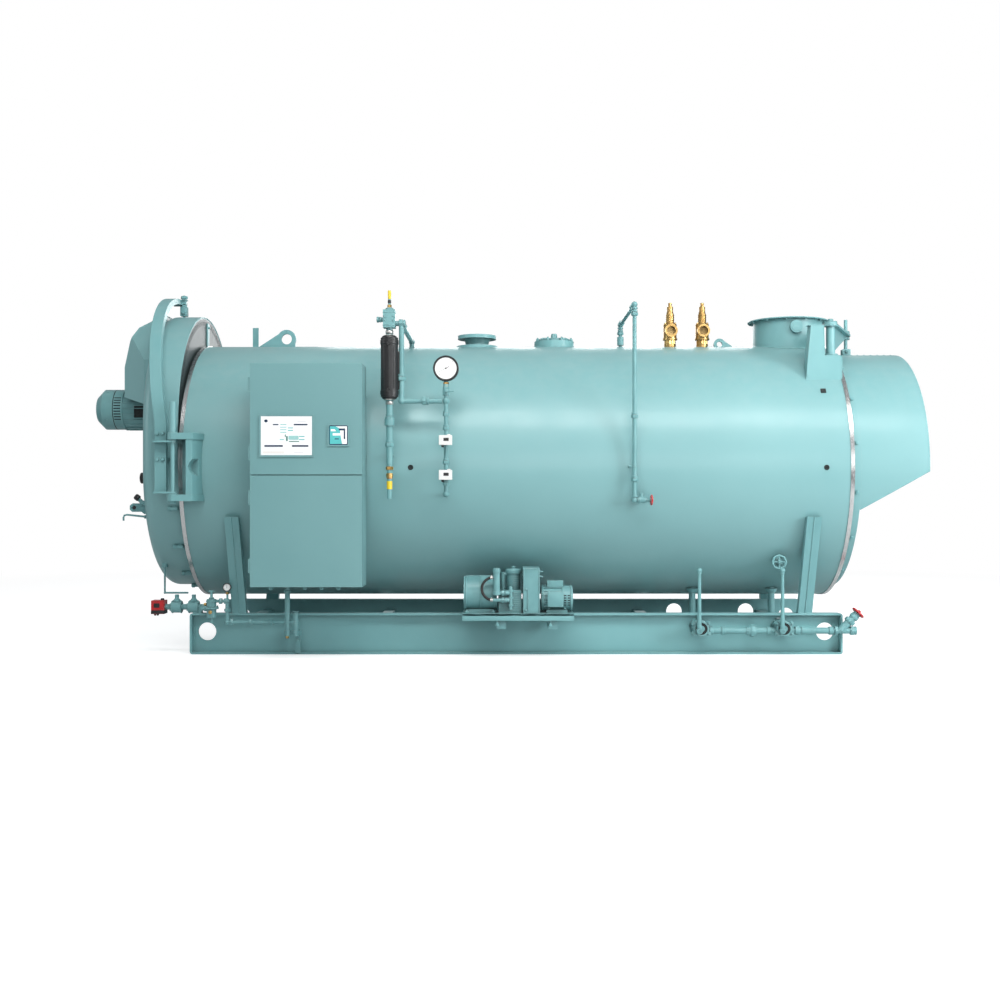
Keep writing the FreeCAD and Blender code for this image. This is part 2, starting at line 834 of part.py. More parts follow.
# Water column: stand pipe with unions, level sensor, head box with probes and drain.
def water_column():
    x, y = "column_x", "column_y"
    stand = rod("column_radius", "sensor_low - column_low - seat_gap", (x, y, up("column_low")))
    lower = rod("column_radius + 11", 46, (x, y, up("column_low + 250")))
    drain = rod("blow_radius", "column_low - blow_low", (x, y, up("blow_low")))
    tap = rod("level_pipe_radius", "abs(column_y) - 800", (x, y, up("column_low + 60")), "Y")
    node("column_pipe", outside_shell(fused(stand, lower, drain, tap)))
    body = rod("sensor_radius", "sensor_high - sensor_low", (x, y, up("sensor_low")))
    node("level_sensor", body)
    neck = rod("column_radius", "head_low - sensor_high - seat_gap + 5",
               (x, y, up("sensor_high + seat_gap")))
    head = block(("head_width", "head_width", "head_high - head_low"),
                 (x + " - head_width / 2", y + " - head_width / 2", up("head_low")))
    knob = rod(15, 40, (x + " - head_width / 2 - 35", y, up("head_low + 55")), "X")
    probe = rod("probe_radius", "probe_top - head_high + 5", (x, y, up("head_high - 5")))
    branch = rod("level_pipe_radius", "tee_x - column_x", (x, y, up("head_low + 30")), "X")
    elbow = ball("level_pipe_radius * 1.3", ("tee_x", y, up("head_low + 30")))
    back = rod("level_pipe_radius", "abs(column_y) - 60", ("tee_x", y, up("head_low + 30")), "Y")
    fall = rod("level_pipe_radius", "head_low + 30 - shell_radius", ("tee_x", -60, up("shell_radius - 1")))
    turn = ball("level_pipe_radius * 1.3", ("tee_x", -60, up("head_low + 30")))
    drop = rod("level_pipe_radius", "head_low + 30 - level_tie_z", ("tee_x", y, up("level_tie_z")))
    low = ball("level_pipe_radius * 1.3", ("tee_x", y, up("level_tie_z")))
    across = rod("level_pipe_radius", "gauge_x - tee_x - gauge_pipe_radius - 9 - seat_gap",
                 ("tee_x", y, up("level_tie_z")), "X")
    node("column_head", outside_shell(fused(neck, head, knob, probe, branch, elbow, back, fall, turn,
                                            drop, low, across)))


water_column()


# Gauge line with the round gauge and two switch boxes on it.
def gauge_line():
    x, y = "gauge_x", "gauge_y"
    stem = rod("gauge_pipe_radius", "gauge_z - gauge_radius - gauge_low - 3", (x, y, up("gauge_low")))
    cock = rod("gauge_pipe_radius + 9", 40, (x, y, up("gauge_z - gauge_radius - 92")))
    tee = ball("gauge_pipe_radius + 9", (x, y, up("level_tie_z")))
    foot = ball("gauge_pipe_radius + 7", (x, y, up("gauge_low")))
    tap = rod("gauge_pipe_radius", "abs(gauge_y) - 800", (x, y, up("gauge_low")), "Y")
    stub_reach = "gauge_pipe_radius + 6 - seat_gap"
    stub_one = rod(9, stub_reach, (x, y, up("switch_upper_z")), "-Y")
    stub_two = rod(9, stub_reach, (x, y, up("switch_lower_z")), "-Y")
    node("gauge_line", outside_shell(fused(stem, cock, tee, foot, tap, stub_one, stub_two)))
    case = rod("gauge_radius", "gauge_depth", (x, y + " + gauge_depth / 2", up("gauge_z")), "-Y")
    socket = rod("gauge_pipe_radius", "gauge_radius", (x, y, up("gauge_z - gauge_radius - 2.7")))
    node("pressure_gauge", fused(case, socket))
    boxes = []
    for level in ("switch_upper_z", "switch_lower_z"):
        boxes.append(block(("switch_width", "switch_depth", "switch_height"),
                           (x + " - switch_width / 2", y + " - gauge_pipe_radius - 6 - switch_depth",
                            up(level + " - switch_height / 2"))))
    node("switch_boxes", apart(*boxes))


gauge_line()


# Air compressor on its own base, carried by two bracket legs off the near rail.
def compressor():
    deep = "base_far_y - base_near_y"
    base = block(("base_right - base_left", deep, "base_high - base_low"),
                 ("base_left", "base_near_y", "base_low"))
    legs_down = []
    for middle in ("base_leg_one_x", "base_leg_two_x"):
        legs_down.append(block(("base_leg_width", "abs(base_near_y) - rail_lip_y - 40", 14),
                               (middle, "base_near_y + 40", "base_leg_low")))
        legs_down.append(block(("base_leg_width", 14, "base_low - base_leg_low"),
                               (middle, "base_near_y + 40", "base_leg_low")))
        legs_down.append(block(("base_leg_width", 14, "base_low - base_leg_low"),
                               (middle, "-rail_lip_y - 14", "base_leg_low")))
    node("compressor_base", fused(base, *legs_down))
    tank = rod("tank_radius", "tank_right - tank_left", ("tank_left", "unit_y", "tank_z"), "X")
    cradle = block(("tank_right - tank_left - 60", 120, "tank_z - tank_radius + 8 - base_high"),
                   ("tank_left + 30", "unit_y - 60", "base_high"))
    node("air_tank", fused(tank, cradle))
    pump = block(("pump_right - pump_left", "pump_depth", "pump_height"),
                 ("pump_left", "unit_y - pump_depth / 2", "base_high"))
    filter_can = rod("filter_radius", "filter_high - filter_low + 8",
                     ("filter_x", "unit_y", "filter_low - 8"))
    riser = rod(14, "filter_high - base_high - pump_height - 20",
                ("pump_left + 30", "unit_y", "base_high + pump_height"))
    bridge = rod(14, "filter_x - pump_left - 30", ("pump_left + 30", "unit_y", "filter_high - 34"), "X")
    separator_x = "hose_x + separator_radius + seat_gap"
    separator = rod("separator_radius", "separator_high - separator_low",
                    (separator_x, "hose_y", "separator_low"))
    links = []
    for start, level in ((separator_x, "separator_link_z"), ("hose_x + seat_gap", "hose_z - hose_bend")):
        links.append(rod("link_radius", "link_x - (" + start + ")", (start, "hose_y", level), "X"))
        links.append(ball("link_radius", ("link_x", "hose_y", level)))
        links.append(rod("link_radius", "unit_y - pump_depth / 2 - hose_y + 5",
                         ("link_x", "hose_y", level), "Y"))
    node("air_pump", fused(pump, filter_can, riser, bridge, separator, *links))
    guard = block(("guard_right - guard_left", "guard_depth", "guard_high - base_high"),
                  ("guard_left", "unit_y - guard_depth / 2", "base_high"))
    node("belt_guard", guard)
    motor = rod("motor_radius", "motor_right - motor_left", ("motor_left", "unit_y", "motor_z"), "X")
    foot = block(("motor_right - motor_left - 70", 150, "motor_z - base_high - motor_radius + 12"),
                 ("motor_left + 35", "unit_y - 75", "base_high"))
    terminal = block(("terminal_width", 90, "terminal_height"),
                     ("motor_left + 40", "unit_y - 45", "motor_z + motor_radius - 8"))
    node("compressor_motor", fused(motor, foot, terminal))


compressor()


# A short hose bowed away from the separator, from its side down to the foot elbow.
def air_hose():
    bow = document.addObject("Part::Torus", "bow")
    bow.setExpression("Radius1", tied("hose_bend"))
    bow.setExpression("Radius2", tied("hose_radius"))
    bow.Angle3 = 180
    # The half ring stands upright in front of the tank with its open side towards +X.
    upright = Rotation(Vector(0, 0, 1), Vector(-1, 0, 0), Vector(0, -1, 0), "ZXY")
    put(bow, ("hose_x", "hose_y", "hose_z"), upright)
    node("air_hose", bow)


air_hose()


# Blowdown: two drops through the near rail, quick valves, the pipe along it and an outlet valve.
def blowdown():
    y, z = "blow_y", "blow_z"
    run = rod("blow_pipe_radius", "blow_end_x - pipe_hole_one_x", ("pipe_hole_one_x", y, z), "X")
    outlet = rod("blow_pipe_radius + 7", 40, ("blow_end_x - 40", y, z), "X")
    union = rod("union_radius", 52, ("union_x - 26", y, z), "X")
    coupling = rod("blow_pipe_radius + 5", 90, ("rail_hole_x - 190", y, z), "X")
    branch = rod("wye_radius", "wye_reach", ("wye_x", y, z), Rotation(Vector(0, 1, 0), 45))
    stem = rod("wye_stem_radius", "wye_reach + 22", ("wye_x", y, z), Rotation(Vector(0, 1, 0), 45))
    bore = rod("blow_bore", 60, ("blow_end_x - 60", y, z), "X")
    node("blowdown_pipe", cut(fused(run, outlet, union, coupling, branch, stem), bore))
    for name, hole_x in (("front", "pipe_hole_one_x"), ("rear", "pipe_hole_two_x")):
        body = rod("valve_radius", "valve_depth", (hole_x, "blow_y - valve_depth / 2", "pipe_hole_z"), "Y")
        back = rod("drop_radius", "abs(blow_y - drop_y)", (hole_x, y, "pipe_hole_z"), "Y")
        elbow = ball("drop_radius * 1.3", (hole_x, "drop_y", "pipe_hole_z"))
        drop = rod("drop_radius", "axis_height - shell_radius - pipe_hole_z + 80",
                   (hole_x, "drop_y", "pipe_hole_z"))
        boss = rod("lever_pin + 12", "abs(lever_y - blow_y) - valve_depth / 2 - 17",
                   (hole_x + " - lever_back", "lever_y + 17", "lever_z"), "Y")
        pin = rod("lever_pin", 40, (hole_x + " - lever_back", "lever_y - 14", "lever_z"), "Y")
        passage = rod("blow_pipe_radius + seat_gap", "2 * valve_radius",
                      (hole_x + " - valve_radius", y, z), "X")
        valve = cut(fused(body, back, elbow, drop, boss, pin), passage)
        node("quick_valve_" + name, outside_shell(valve))
        arm = cone("lever_radius + 3", "lever_radius - 2", "lever_length",
                   (hole_x + " - lever_back", "lever_y", "lever_z"))
        knob = ball("lever_ball", (hole_x + " - lever_back", "lever_y", "lever_z + lever_length"))
        hub = rod("lever_pin + 12", 24, (hole_x + " - lever_back", "lever_y - 12", "lever_z"), "Y")
        eye = rod("lever_pin + pin_clear", 40, (hole_x + " - lever_back", "lever_y - 20", "lever_z"), "Y")
        node("blowdown_lever_" + name, cut(fused(arm, knob, hub), eye))


blowdown()


def wye_wheel():
    """The outlet valve's handwheel, square to its slanting stem."""
    slant = Rotation(Vector(0, 1, 0), 45)
    reach = "(wye_reach + 10) * sin(45 deg)"
    at = ("wye_x + " + reach, "blow_y", "blow_z + " + reach)
    rim = wheel("wye_wheel_radius", "wye_wheel_wire", at, slant)
    low = "(wye_reach + 4) * sin(45 deg)"
    hub = rod("wye_stem_radius + 8", 14, ("wye_x + " + low, "blow_y", "blow_z + " + low), slant)
    spokes = []
    for index in range(3):
        turn = slant.multiply(Rotation(Vector(0, 0, 1), 120 * index)).multiply(TURNS["X"])
        spokes.append(rod("wye_wheel_wire - 2", "wye_wheel_radius", at, turn))
    eye = rod("wye_stem_radius + pin_clear", 60, ("wye_x + " + low + " - 10", "blow_y",
                                                  "blow_z + " + low + " - 10"), slant)
    node("blowdown_handwheel", cut(fused(rim, hub, *spokes), eye))


wye_wheel()


def drain_valve():
    """A drain valve on the shell's low near side, its handwheel facing out."""
    at = ("drain_x", "drain_y", up("drain_z"))
    stem = rod(14, "abs(drain_y) - 560", at, "Y")
    body = rod(28, 60, ("drain_x", "drain_y + 40", up("drain_z")), "Y")
    rim = wheel("drain_wheel_radius", 7, at, "Y")
    spokes = [rod(5, "drain_wheel_radius", at, turn) for turn in ("X", "-X", "Z", "-Z")]
    node("drain_valve", outside_shell(fused(stem, body, rim, *spokes)))


drain_valve()


# Gas train beside the front legs: actuator, valve bodies, regulator, small gauge and risers.
def gas_train():
    y, z = "gas_y", "gas_z"
    actuator = block(("actuator_width", "actuator_width", "actuator_height"),
                     ("gas_left - actuator_width", y + " - actuator_width / 2",
                      z + " - actuator_height / 2"))
    node("gas_actuator", actuator)
    run = rod("gas_pipe_radius + 6", "gas_right - gas_left - seat_gap + 60",
              ("gas_left + seat_gap", y, z), "X")
    bodies = []
    for share in (0.3, 0.75):
        bodies.append(rod("gas_radius - seat_gap", 70, ("gas_left + (gas_right - gas_left) * "
                          + str(share) + " - 35", y, z), "X"))
        bodies.append(rod(14, 74, ("gas_left + (gas_right - gas_left) * " + str(share), y, z)))
    foot = block((60, 44, "gas_z - rail_height - seat_gap"),
                 ("-rail_length / 2 + 20", y + " - 22", "rail_height + seat_gap"))
    node("gas_valves", fused(run, foot, *bodies))
    x, side = "regulator_x", "branch_y"
    can = rod("regulator_radius", "regulator_high - regulator_low", (x, side, "regulator_low"))
    tip = rod(10, 40, (x, side, "regulator_low - 38"))
    neck = rod(9, 60, (x, side, "regulator_high - 4"))
    inlet = rod("gas_pipe_radius", "abs(branch_y - gas_y) - gas_pipe_radius - 6 - seat_gap",
                ("gas_right + 20", side, z), "Y")
    link = rod("gas_pipe_radius", "regulator_x - gas_right - 20", ("gas_right + 20", side, z), "X")
    node("gas_regulator", fused(can, tip, neck, inlet, link))
    dial_x = "gas_dial_x"
    out = rod("gas_pipe_radius - 3", "gas_dial_x - regulator_x - regulator_radius - seat_gap",
              ("regulator_x + regulator_radius + seat_gap", side, "branch_z - 20"), "X")
    dial_stem = rod(7, "gas_dial_z - branch_z + 20", (dial_x, side, "branch_z - 20"))
    dial = rod("gas_dial_radius", 26, (dial_x, side + " - 16", "gas_dial_z"), "Y")
    cross = ball(19, (dial_x, side, "branch_z - 20"))
    down = rod("gas_pipe_radius", "branch_z - 20 - gas_run_z", (dial_x, side, "gas_run_z"))
    bend = ball("gas_pipe_radius + 5", (dial_x, side, "gas_run_z"))
    along = rod("gas_pipe_radius", "gas_riser_x - gas_dial_x", (dial_x, side, "gas_run_z"), "X")
    riser = rod("gas_pipe_radius + 4", "gas_riser_high - gas_second_low",
                ("gas_riser_x", side, "gas_second_low"))
    second = rod("gas_pipe_radius + 5", "gas_second_high - gas_second_low",
                 ("gas_second_x", side, "gas_second_low"))
    bridge = rod("gas_pipe_radius", "gas_second_x - gas_riser_x", ("gas_riser_x", side, "gas_run_z"), "X")
    stand = block(("gas_strap_width", "abs(branch_y) - rail_lip_y - seat_gap", 30),
                  ("gas_second_x - gas_strap_width / 2", side, "gas_second_low"))
    leg = block(("gas_strap_width", 8, "gas_second_low + 20"),
                ("gas_second_x - gas_strap_width / 2", "-rail_lip_y - seat_gap - 8", 10))
    node("gas_branch_pipe", fused(out, dial_stem, dial, cross, down, bend, along, riser, second,
                                  bridge, stand, leg))


gas_train()


# Near-side hinge of the front head: shelf plates, box bracket, pin and round post.
def head_hinge():
    left, right = "pin_x - 34", "hinge_right_x"
    pieces = []
    for low in ("hinge_half - hinge_plate", "-hinge_half"):
        outline = [("pin_x", "hinge_near_y"), (right + " - 46", "hinge_near_y"),
                   (right, "-shell_radius + 60"),
                   ("-" + SHELL_HALF + " + seat_gap", "-shell_radius + 60"),
                   ("-" + SHELL_HALF + " + seat_gap", "pin_y + 34"), ("pin_x", "pin_y + 34")]
        shelf = plate("XY", outline, "hinge_plate", (0, 0, up(low + " + hinge_plate / 2")))
        pieces += [shelf, rod("34", "hinge_plate", ("pin_x", "pin_y", up(low)))]
    outline = [(right + " - 92", "hinge_near_y + 6"), (right + " - 50", "hinge_near_y + 6"),
               (right + " - 6", "-shell_radius + 60"), (right + " - 92", "-shell_radius + 60")]
    pieces.append(plate("XY", outline, "2 * hinge_half - 2 * hinge_plate + 2", (0, 0, "axis_height")))
    hole = rod("hinge_hole", 120, (right + " - 18", "hinge_near_y - 20", "axis_height"), "Y")
    pieces.append(rod("pin_radius", "2 * hinge_half", ("pin_x", "pin_y", up("-hinge_half"))))
    pieces.append(rod("post_radius", "post_top - hinge_half", ("pin_x", "pin_y", up("hinge_half"))))
    node("head_hinge", outside_bands(cut(fused(*pieces), hole)))


head_hinge()


# Front head: a shallow drum over the shell's end that rises into an air plenum.
def stadium(radius, back_x, front_x):
    """The head's round-topped outline, padded from its front plane to its back plane."""
    body = document.addObject("PartDesign::Body", "drum")
    sketch = body.newObject("Sketcher::SketchObject", "outline")
    origin = next(item for item in body.Origin.OriginFeatures if item.Role == "YZ_Plane")
    sketch.AttachmentSupport = [(origin, "")]
    sketch.MapMode = "FlatFace"
    wide = values["head_radius"]
    high = values["plenum_rise"]
    normal = Vector(0, 0, 1)
    sketch.addGeometry(Part.ArcOfCircle(Part.Circle(Vector(0, 0, 0), normal, wide), math.pi, 2 * math.pi))
    sketch.addGeometry(Part.LineSegment(Vector(wide, 0, 0), Vector(wide, high, 0)))
    sketch.addGeometry(Part.ArcOfCircle(Part.Circle(Vector(0, high, 0), normal, wide), 0, math.pi))
    sketch.addGeometry(Part.LineSegment(Vector(-wide, high, 0), Vector(-wide, 0, 0)))
    for index in range(4):
        sketch.addConstraint(Sketcher.Constraint("Tangent", index, 2, (index + 1) % 4, 1))
    sketch.addConstraint(Sketcher.Constraint("Coincident", 0, 3, -1, 1))
    sketch.addConstraint(Sketcher.Constraint("Vertical", 1))
    bound = sketch.addConstraint(Sketcher.Constraint("Radius", 0, wide))
    sketch.renameConstraint(bound, "wide")
    sketch.setExpression("Constraints.wide", tied(radius))
    bound = sketch.addConstraint(Sketcher.Constraint("DistanceY", -1, 1, 2, 3, high))
    sketch.renameConstraint(bound, "high")
    sketch.setExpression("Constraints.high", tied("plenum_rise"))
    pad = body.newObject("PartDesign::Pad", "pad")
    pad.Profile = sketch
    pad.setExpression("Length", tied("(" + back_x + ") - (" + front_x + ")"))
    return put(body, (front_x, 0, "axis_height"))


def front_head():
    wall = "paint_plate"
    drum = stadium("head_radius", "plenum_rear_x", "head_front_x")
    document.recompute()
    square = drum.Tip
    rim = next(index for index, edge in enumerate(square.Shape.Edges) if edge.BoundBox.XMax < 0.01)
    # The rounding runs on from one edge of the front face along the whole smooth outline.
    rounded = drum.newObject("PartDesign::Fillet", "rounded")
    rounded.Base = (square, ["Edge" + str(rim + 1)])
    rounded.setExpression("Radius", tied("head_knuckle"))
    drum.Tip = rounded
    hollow = stadium("head_radius - " + wall, "plenum_rear_x", "head_front_x + head_knuckle")
    collar = ring("head_radius", "head_radius - " + wall, "head_rear_x - head_front_x - head_knuckle",
                  ("head_front_x + head_knuckle", 0, "axis_height"), "X")
    node("front_head", fused(cut(drum, hollow), collar))
    disc = rod("head_radius - " + wall + " - seat_gap", "lining_depth",
               ("head_rear_x - 4 - lining_depth", 0, "axis_height"), "X")
    throat = ring("throat_radius", "throat_radius - 60", "throat_reach",
                  ("head_rear_x - 5", 0, up("-furnace_drop")), "X")
    mouth = rod("throat_radius - 60", "lining_depth - 40",
                ("head_rear_x - lining_depth + 40", 0, up("-furnace_drop")), "X")
    node("head_lining", fused(cut(disc, mouth), throat))
    mesh = stadium("head_radius - " + wall + " - seat_gap", "plenum_rear_x", "plenum_rear_x - screen_thick")
    mesh = cut(mesh, rod("head_radius + seat_gap", 40, ("plenum_rear_x - 20", 0, "axis_height"), "X"))
    post = block((30, "inlet_post_width", "plenum_rise - 20"),
                 ("plenum_rear_x - screen_thick - 30", "-inlet_post_width / 2", up("head_radius + 4")))
    node("inlet_screen", fused(mesh, post))


front_head()


def fan_hood():
    """A faceted hood: its side, front and top outlines cut one another."""
    back = "head_front_x - seat_gap"
    front = "hood_front_x"
    side = [(back, up("hood_low_back")), (front, up("hood_low_front")), (front, up("hood_high - 370")),
            (front + " + 53", up("hood_high - 188")), (front + " + 110", up("hood_high - 89")),
            (front + " + 193", up("hood_high - 40")), (front + " + 267", up("hood_high")),
            (back, up("hood_high"))]
    half = "hood_half"
    face = [("-" + half, up("hood_low_back - 10")), (half, up("hood_low_back - 10")),
            (half, up("hood_high - 330")), (half + " - 170", up("hood_high - 20")),
            (half + " - 230", up("hood_high + 5")), ("230 - " + half, up("hood_high + 5")),
            ("170 - " + half, up("hood_high - 20")), ("-" + half, up("hood_high - 330"))]
    top = [(back, "-" + half), (back, half), (front + " + 180", half), (front, half + " - 150"),
           (front, "150 - " + half), (front + " + 180", "-" + half)]
    profile = common(plate("XZ", side, "2 * hood_half"),
                     plate("YZ", face, "8 * hood_half", ("head_front_x", 0, 0)))
    shape = common(profile, plate("XY", top, "2 * (axis_height + hood_high + 50)"))
    clearance = rod("blower_radius + seat_gap", "head_front_x - blower_end_x",
                    ("blower_end_x", 0, up("blower_z")), "X")
    node("fan_hood", cut(shape, clearance))
    motor = turned([(0, 0), ("blower_radius - blower_chamfer", 0), ("blower_radius", "blower_chamfer"),
                    ("blower_radius", "blower_cowl"), ("blower_radius - 5", "blower_cowl"),
                    ("blower_radius - 5", "blower_cowl + 6"), ("blower_radius", "blower_cowl + 6"),
                    ("blower_radius", "head_front_x - blower_end_x - seat_gap"),
                    (0, "head_front_x - blower_end_x - seat_gap")],
                   ("blower_end_x", 0, up("blower_z")), "X")
    node("blower_motor", motor)


fan_hood()


# Davit strap that hangs the front head: it leans back as it arches over the head.
def head_strap():
    inner = "strap_outer - strap_thick"
    arch = cut(rod("strap_outer", 600, ("strap_crest_x - 300", 0, up("strap_arc_z")), "X"),
               rod(inner, 600, ("strap_crest_x - 300", 0, up("strap_arc_z")), "X"))
    window = block((600, "strap_outer + 40", "strap_outer"),
                   ("strap_crest_x - 300", "-strap_outer", up("strap_arc_z")))
    half = "strap_width / 2"
    crest = up("strap_arc_z + strap_outer")
    lean = plate("XZ", [("strap_foot_x - " + half, up("strap_arc_z")),
                        ("strap_foot_x + " + half, up("strap_arc_z")),
                        ("strap_crest_x + " + half, crest), ("strap_crest_x - " + half, crest)],
                 "2 * strap_outer + 100")
    leg = block(("strap_width", "strap_thick", "strap_arc_z - strap_foot_z"),
                ("strap_foot_x - " + half, "-strap_outer", up("strap_foot_z")))
    hanger = block(("hanger_x - strap_crest_x + 18", 36, 26),
                   ("strap_crest_x", -18, up("strap_arc_z + strap_outer - 32")))
    link = rod("hanger_radius", "hanger_top - head_radius - plenum_rise - seat_gap",
               ("hanger_x", 0, up("head_radius + plenum_rise + seat_gap")))
    nut = rod("hanger_radius + 9", 22, ("hanger_x", 0, up("hanger_top - 30")))
    saddle = rod("hanger_radius + 12", 26, ("hanger_x", 0, up("head_radius + plenum_rise + seat_gap + 48")))
    pieces = [common(common(arch, window), lean), leg, hanger, link, nut, saddle]
    for level in (40, 210):
        pieces.append(block(("strap_width - 20", inner + " - head_radius - seat_gap + 4", 24),
                            ("strap_foot_x - " + half + " + 10", "-(" + inner + ") - 4", up(level))))
    for low in ("knuckle_half - knuckle_plate", "-knuckle_half"):
        pieces.append(block(("pin_x - strap_foot_x", "2 * knuckle_radius", "knuckle_plate"),
                            ("strap_foot_x", "pin_y - knuckle_radius", up(low))))
        pieces.append(block(("strap_width", "abs(pin_y) - strap_outer + 10", "knuckle_plate"),
                            ("strap_foot_x - " + half, "pin_y", up(low))))
        pieces.append(rod("knuckle_radius", "knuckle_plate", ("pin_x", "pin_y", up(low))))
    eye = rod("pin_radius + pin_clear", "2 * hinge_half", ("pin_x", "pin_y", up("-hinge_half")))
    node("head_strap", cut(fused(*pieces), eye))


head_strap()


# Small fittings on the head: sight port, control lever bracket and the pilot gas pipe.
def head_fittings():
    face = "head_front_x - seat_gap"
    port = rod(34, 60, ("head_front_x - 60 - seat_gap", 0, up(60)), "X")
    arm_plate = block((120, 10, 60), ("head_front_x - 120 - seat_gap", -60, up(-110)))
    lever = rod(5, 165, ("head_front_x - 165 - seat_gap", -40, up(-140)), "X")
    tip = rod(5, 40, ("head_front_x - 163 - seat_gap", -40, up(-180)))
    node("head_controls", apart(port, arm_plate, fused(lever, tip)))
    start_y = "pilot_y"
    riser_x = "pilot_riser_x"
    depth = "pilot_socket_z - pilot_z"
    riser = rod("pilot_radius", depth, (riser_x, start_y, up("pilot_z")))
    bend = ball("pilot_radius + 2", (riser_x, start_y, up("pilot_z")))
    run = rod("pilot_radius", "pilot_union_x - pilot_riser_x - 6", (riser_x, start_y, up("pilot_z")), "X")
    socket = rod(20, 46, (riser_x, start_y, up("pilot_socket_z - 10")))
    whole = fused(riser, bend, run, socket)
    drum = rod("head_radius + seat_gap", "head_rear_x - head_front_x + 100",
               ("head_front_x", 0, "axis_height"), "X")
    node("pilot_riser", cut(whole, drum))


head_fittings()


# Rear door with its hood, hung by a rod from the arm of the rear davit.
def rear_door():
    disc = rod("rear_radius", "rear_door_thick", ("rear_door_x", 0, "axis_height"), "X")
    node("rear_door", disc)
    start = "rear_door_x + rear_door_thick + seat_gap"
    drum = rod("rear_radius", "rear_end_x - rear_door_x - rear_door_thick - seat_gap",
               (start, 0, "axis_height"), "X")
    low = up("-rear_radius - 20")
    slope = plate("XZ", [(start + " - 1", up("hood_cut_low")), ("rear_end_x + 1", up("hood_cut_high")),
                         ("rear_end_x + 1", low), (start + " - 1", low)], "2 * rear_radius + 40")
    node("rear_hood", cut(drum, slope))
    rod_low = "rear_radius + seat_gap"
    link = rod("rod_radius", "rod_top - rear_radius - seat_gap", ("rod_x", 0, up(rod_low)))
    nut = rod("rod_nut_radius", 24, ("rod_x", 0, up("arm_low + arm_thick + seat_gap")))
    clevis = rod("rod_nut_radius - 2", 34, ("rod_x", 0, up(rod_low)))
    node("rear_hanger_rod", fused(link, nut, clevis))


rear_door()


def rear_davit():
    outline = [("davit_left", up("davit_low")), ("davit_right", up("davit_low")),
               ("davit_right", up("davit_step_z")),
               ("davit_step_x", up("davit_step_z")), ("davit_step_x - 6", up("davit_high")),
               ("davit_left + 34", up("davit_high"))]
    box_plate = plate("XZ", outline, "davit_depth", (0, "davit_y", 0))
    cap = block(("davit_step_x - davit_left", "arm_width", "davit_cap_thick"),
                ("davit_left + 20", "davit_y - arm_width / 2", up("davit_high")))
    foot = ("davit_x", "davit_y", up("davit_step_z"))
    post = rod("davit_post_radius", "arm_low - davit_step_z - seat_gap", foot)
    pin = rod("arm_pin_radius", "arm_low + arm_thick + 10 - davit_step_z", foot)
    node("rear_davit_bracket", outside_bands(fused(box_plate, cap, post, pin)))
    across = values["rod_x"] - values["davit_x"]
    back = -values["davit_y"]
    angle = math.degrees(math.atan2(back, across))
    reach = "sqrt((rod_x - davit_x)^2 + davit_y^2)"
    low = "arm_low"
    bar = plate("XZ", [(0, 0), (reach, 0), (reach, "arm_thick"), (0, "arm_thick")], "arm_width",
                ("davit_x", "davit_y", up(low)), Rotation(Vector(0, 0, 1), angle))
    web = plate("XZ", [("davit_post_radius + 8", 1), (reach + " - rod_eye_radius", 1),
                       (reach + " - rod_eye_radius", -18),
                       ("davit_post_radius + 8", "arm_web_low - arm_low")],
                "arm_web_thick", ("davit_x", "davit_y", up(low)), Rotation(Vector(0, 0, 1), angle))
    eye = rod("arm_eye_radius", "arm_thick", ("davit_x", "davit_y", up(low)))
    end = rod("rod_eye_radius", "arm_thick", ("rod_x", 0, up(low)))
    pin_hole = rod("arm_pin_radius + pin_clear", 200, ("davit_x", "davit_y", up("arm_low - 60")))
    rod_hole = rod("rod_radius + pin_clear", 200, ("rod_x", 0, up("arm_low - 60")))
    node("rear_davit_arm", cut(fused(bar, web, eye, end), pin_hole, rod_hole))


rear_davit()

# Every object must be sound before anything is written.
document.recompute()
for item in document.Objects:
    if "Invalid" in item.State or "Error" in item.State:
        raise RuntimeError("not computed: " + item.Name + " " + item.getStatusString())
for piece in nodes:
    if piece.Shape.isNull() or not piece.Shape.isValid():
        raise RuntimeError("bad shape: " + piece.Label)

os.makedirs("parts", exist_ok=True)
for piece in nodes:
    piece.Shape.exportStep("parts/" + piece.Label + ".step")
    print(piece.Label, len(piece.Shape.Solids), round(piece.Shape.Volume / 1e6, 2), "litres")
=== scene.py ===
import random
from math import asin, atan2, cos, hypot, pi, radians, sin, sqrt

import bmesh
import bpy
from mathutils import Matrix, Vector


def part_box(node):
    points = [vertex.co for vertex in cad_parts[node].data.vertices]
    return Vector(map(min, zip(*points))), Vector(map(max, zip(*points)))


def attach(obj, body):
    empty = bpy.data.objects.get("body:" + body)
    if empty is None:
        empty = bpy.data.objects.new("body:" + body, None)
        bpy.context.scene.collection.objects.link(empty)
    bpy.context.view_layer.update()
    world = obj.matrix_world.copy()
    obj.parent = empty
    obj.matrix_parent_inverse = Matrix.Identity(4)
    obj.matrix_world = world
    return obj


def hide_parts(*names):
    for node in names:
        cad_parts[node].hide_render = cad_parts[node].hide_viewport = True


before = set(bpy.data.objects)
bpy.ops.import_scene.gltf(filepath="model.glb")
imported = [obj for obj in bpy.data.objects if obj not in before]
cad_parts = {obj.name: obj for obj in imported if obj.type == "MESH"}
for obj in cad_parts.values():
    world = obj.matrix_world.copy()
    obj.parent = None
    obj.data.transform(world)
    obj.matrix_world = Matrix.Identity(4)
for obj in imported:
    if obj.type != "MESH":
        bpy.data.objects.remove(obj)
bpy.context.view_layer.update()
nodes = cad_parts
random.seed(7)
scene = bpy.context.scene
print("frame loaded with", len(nodes), "nodes")


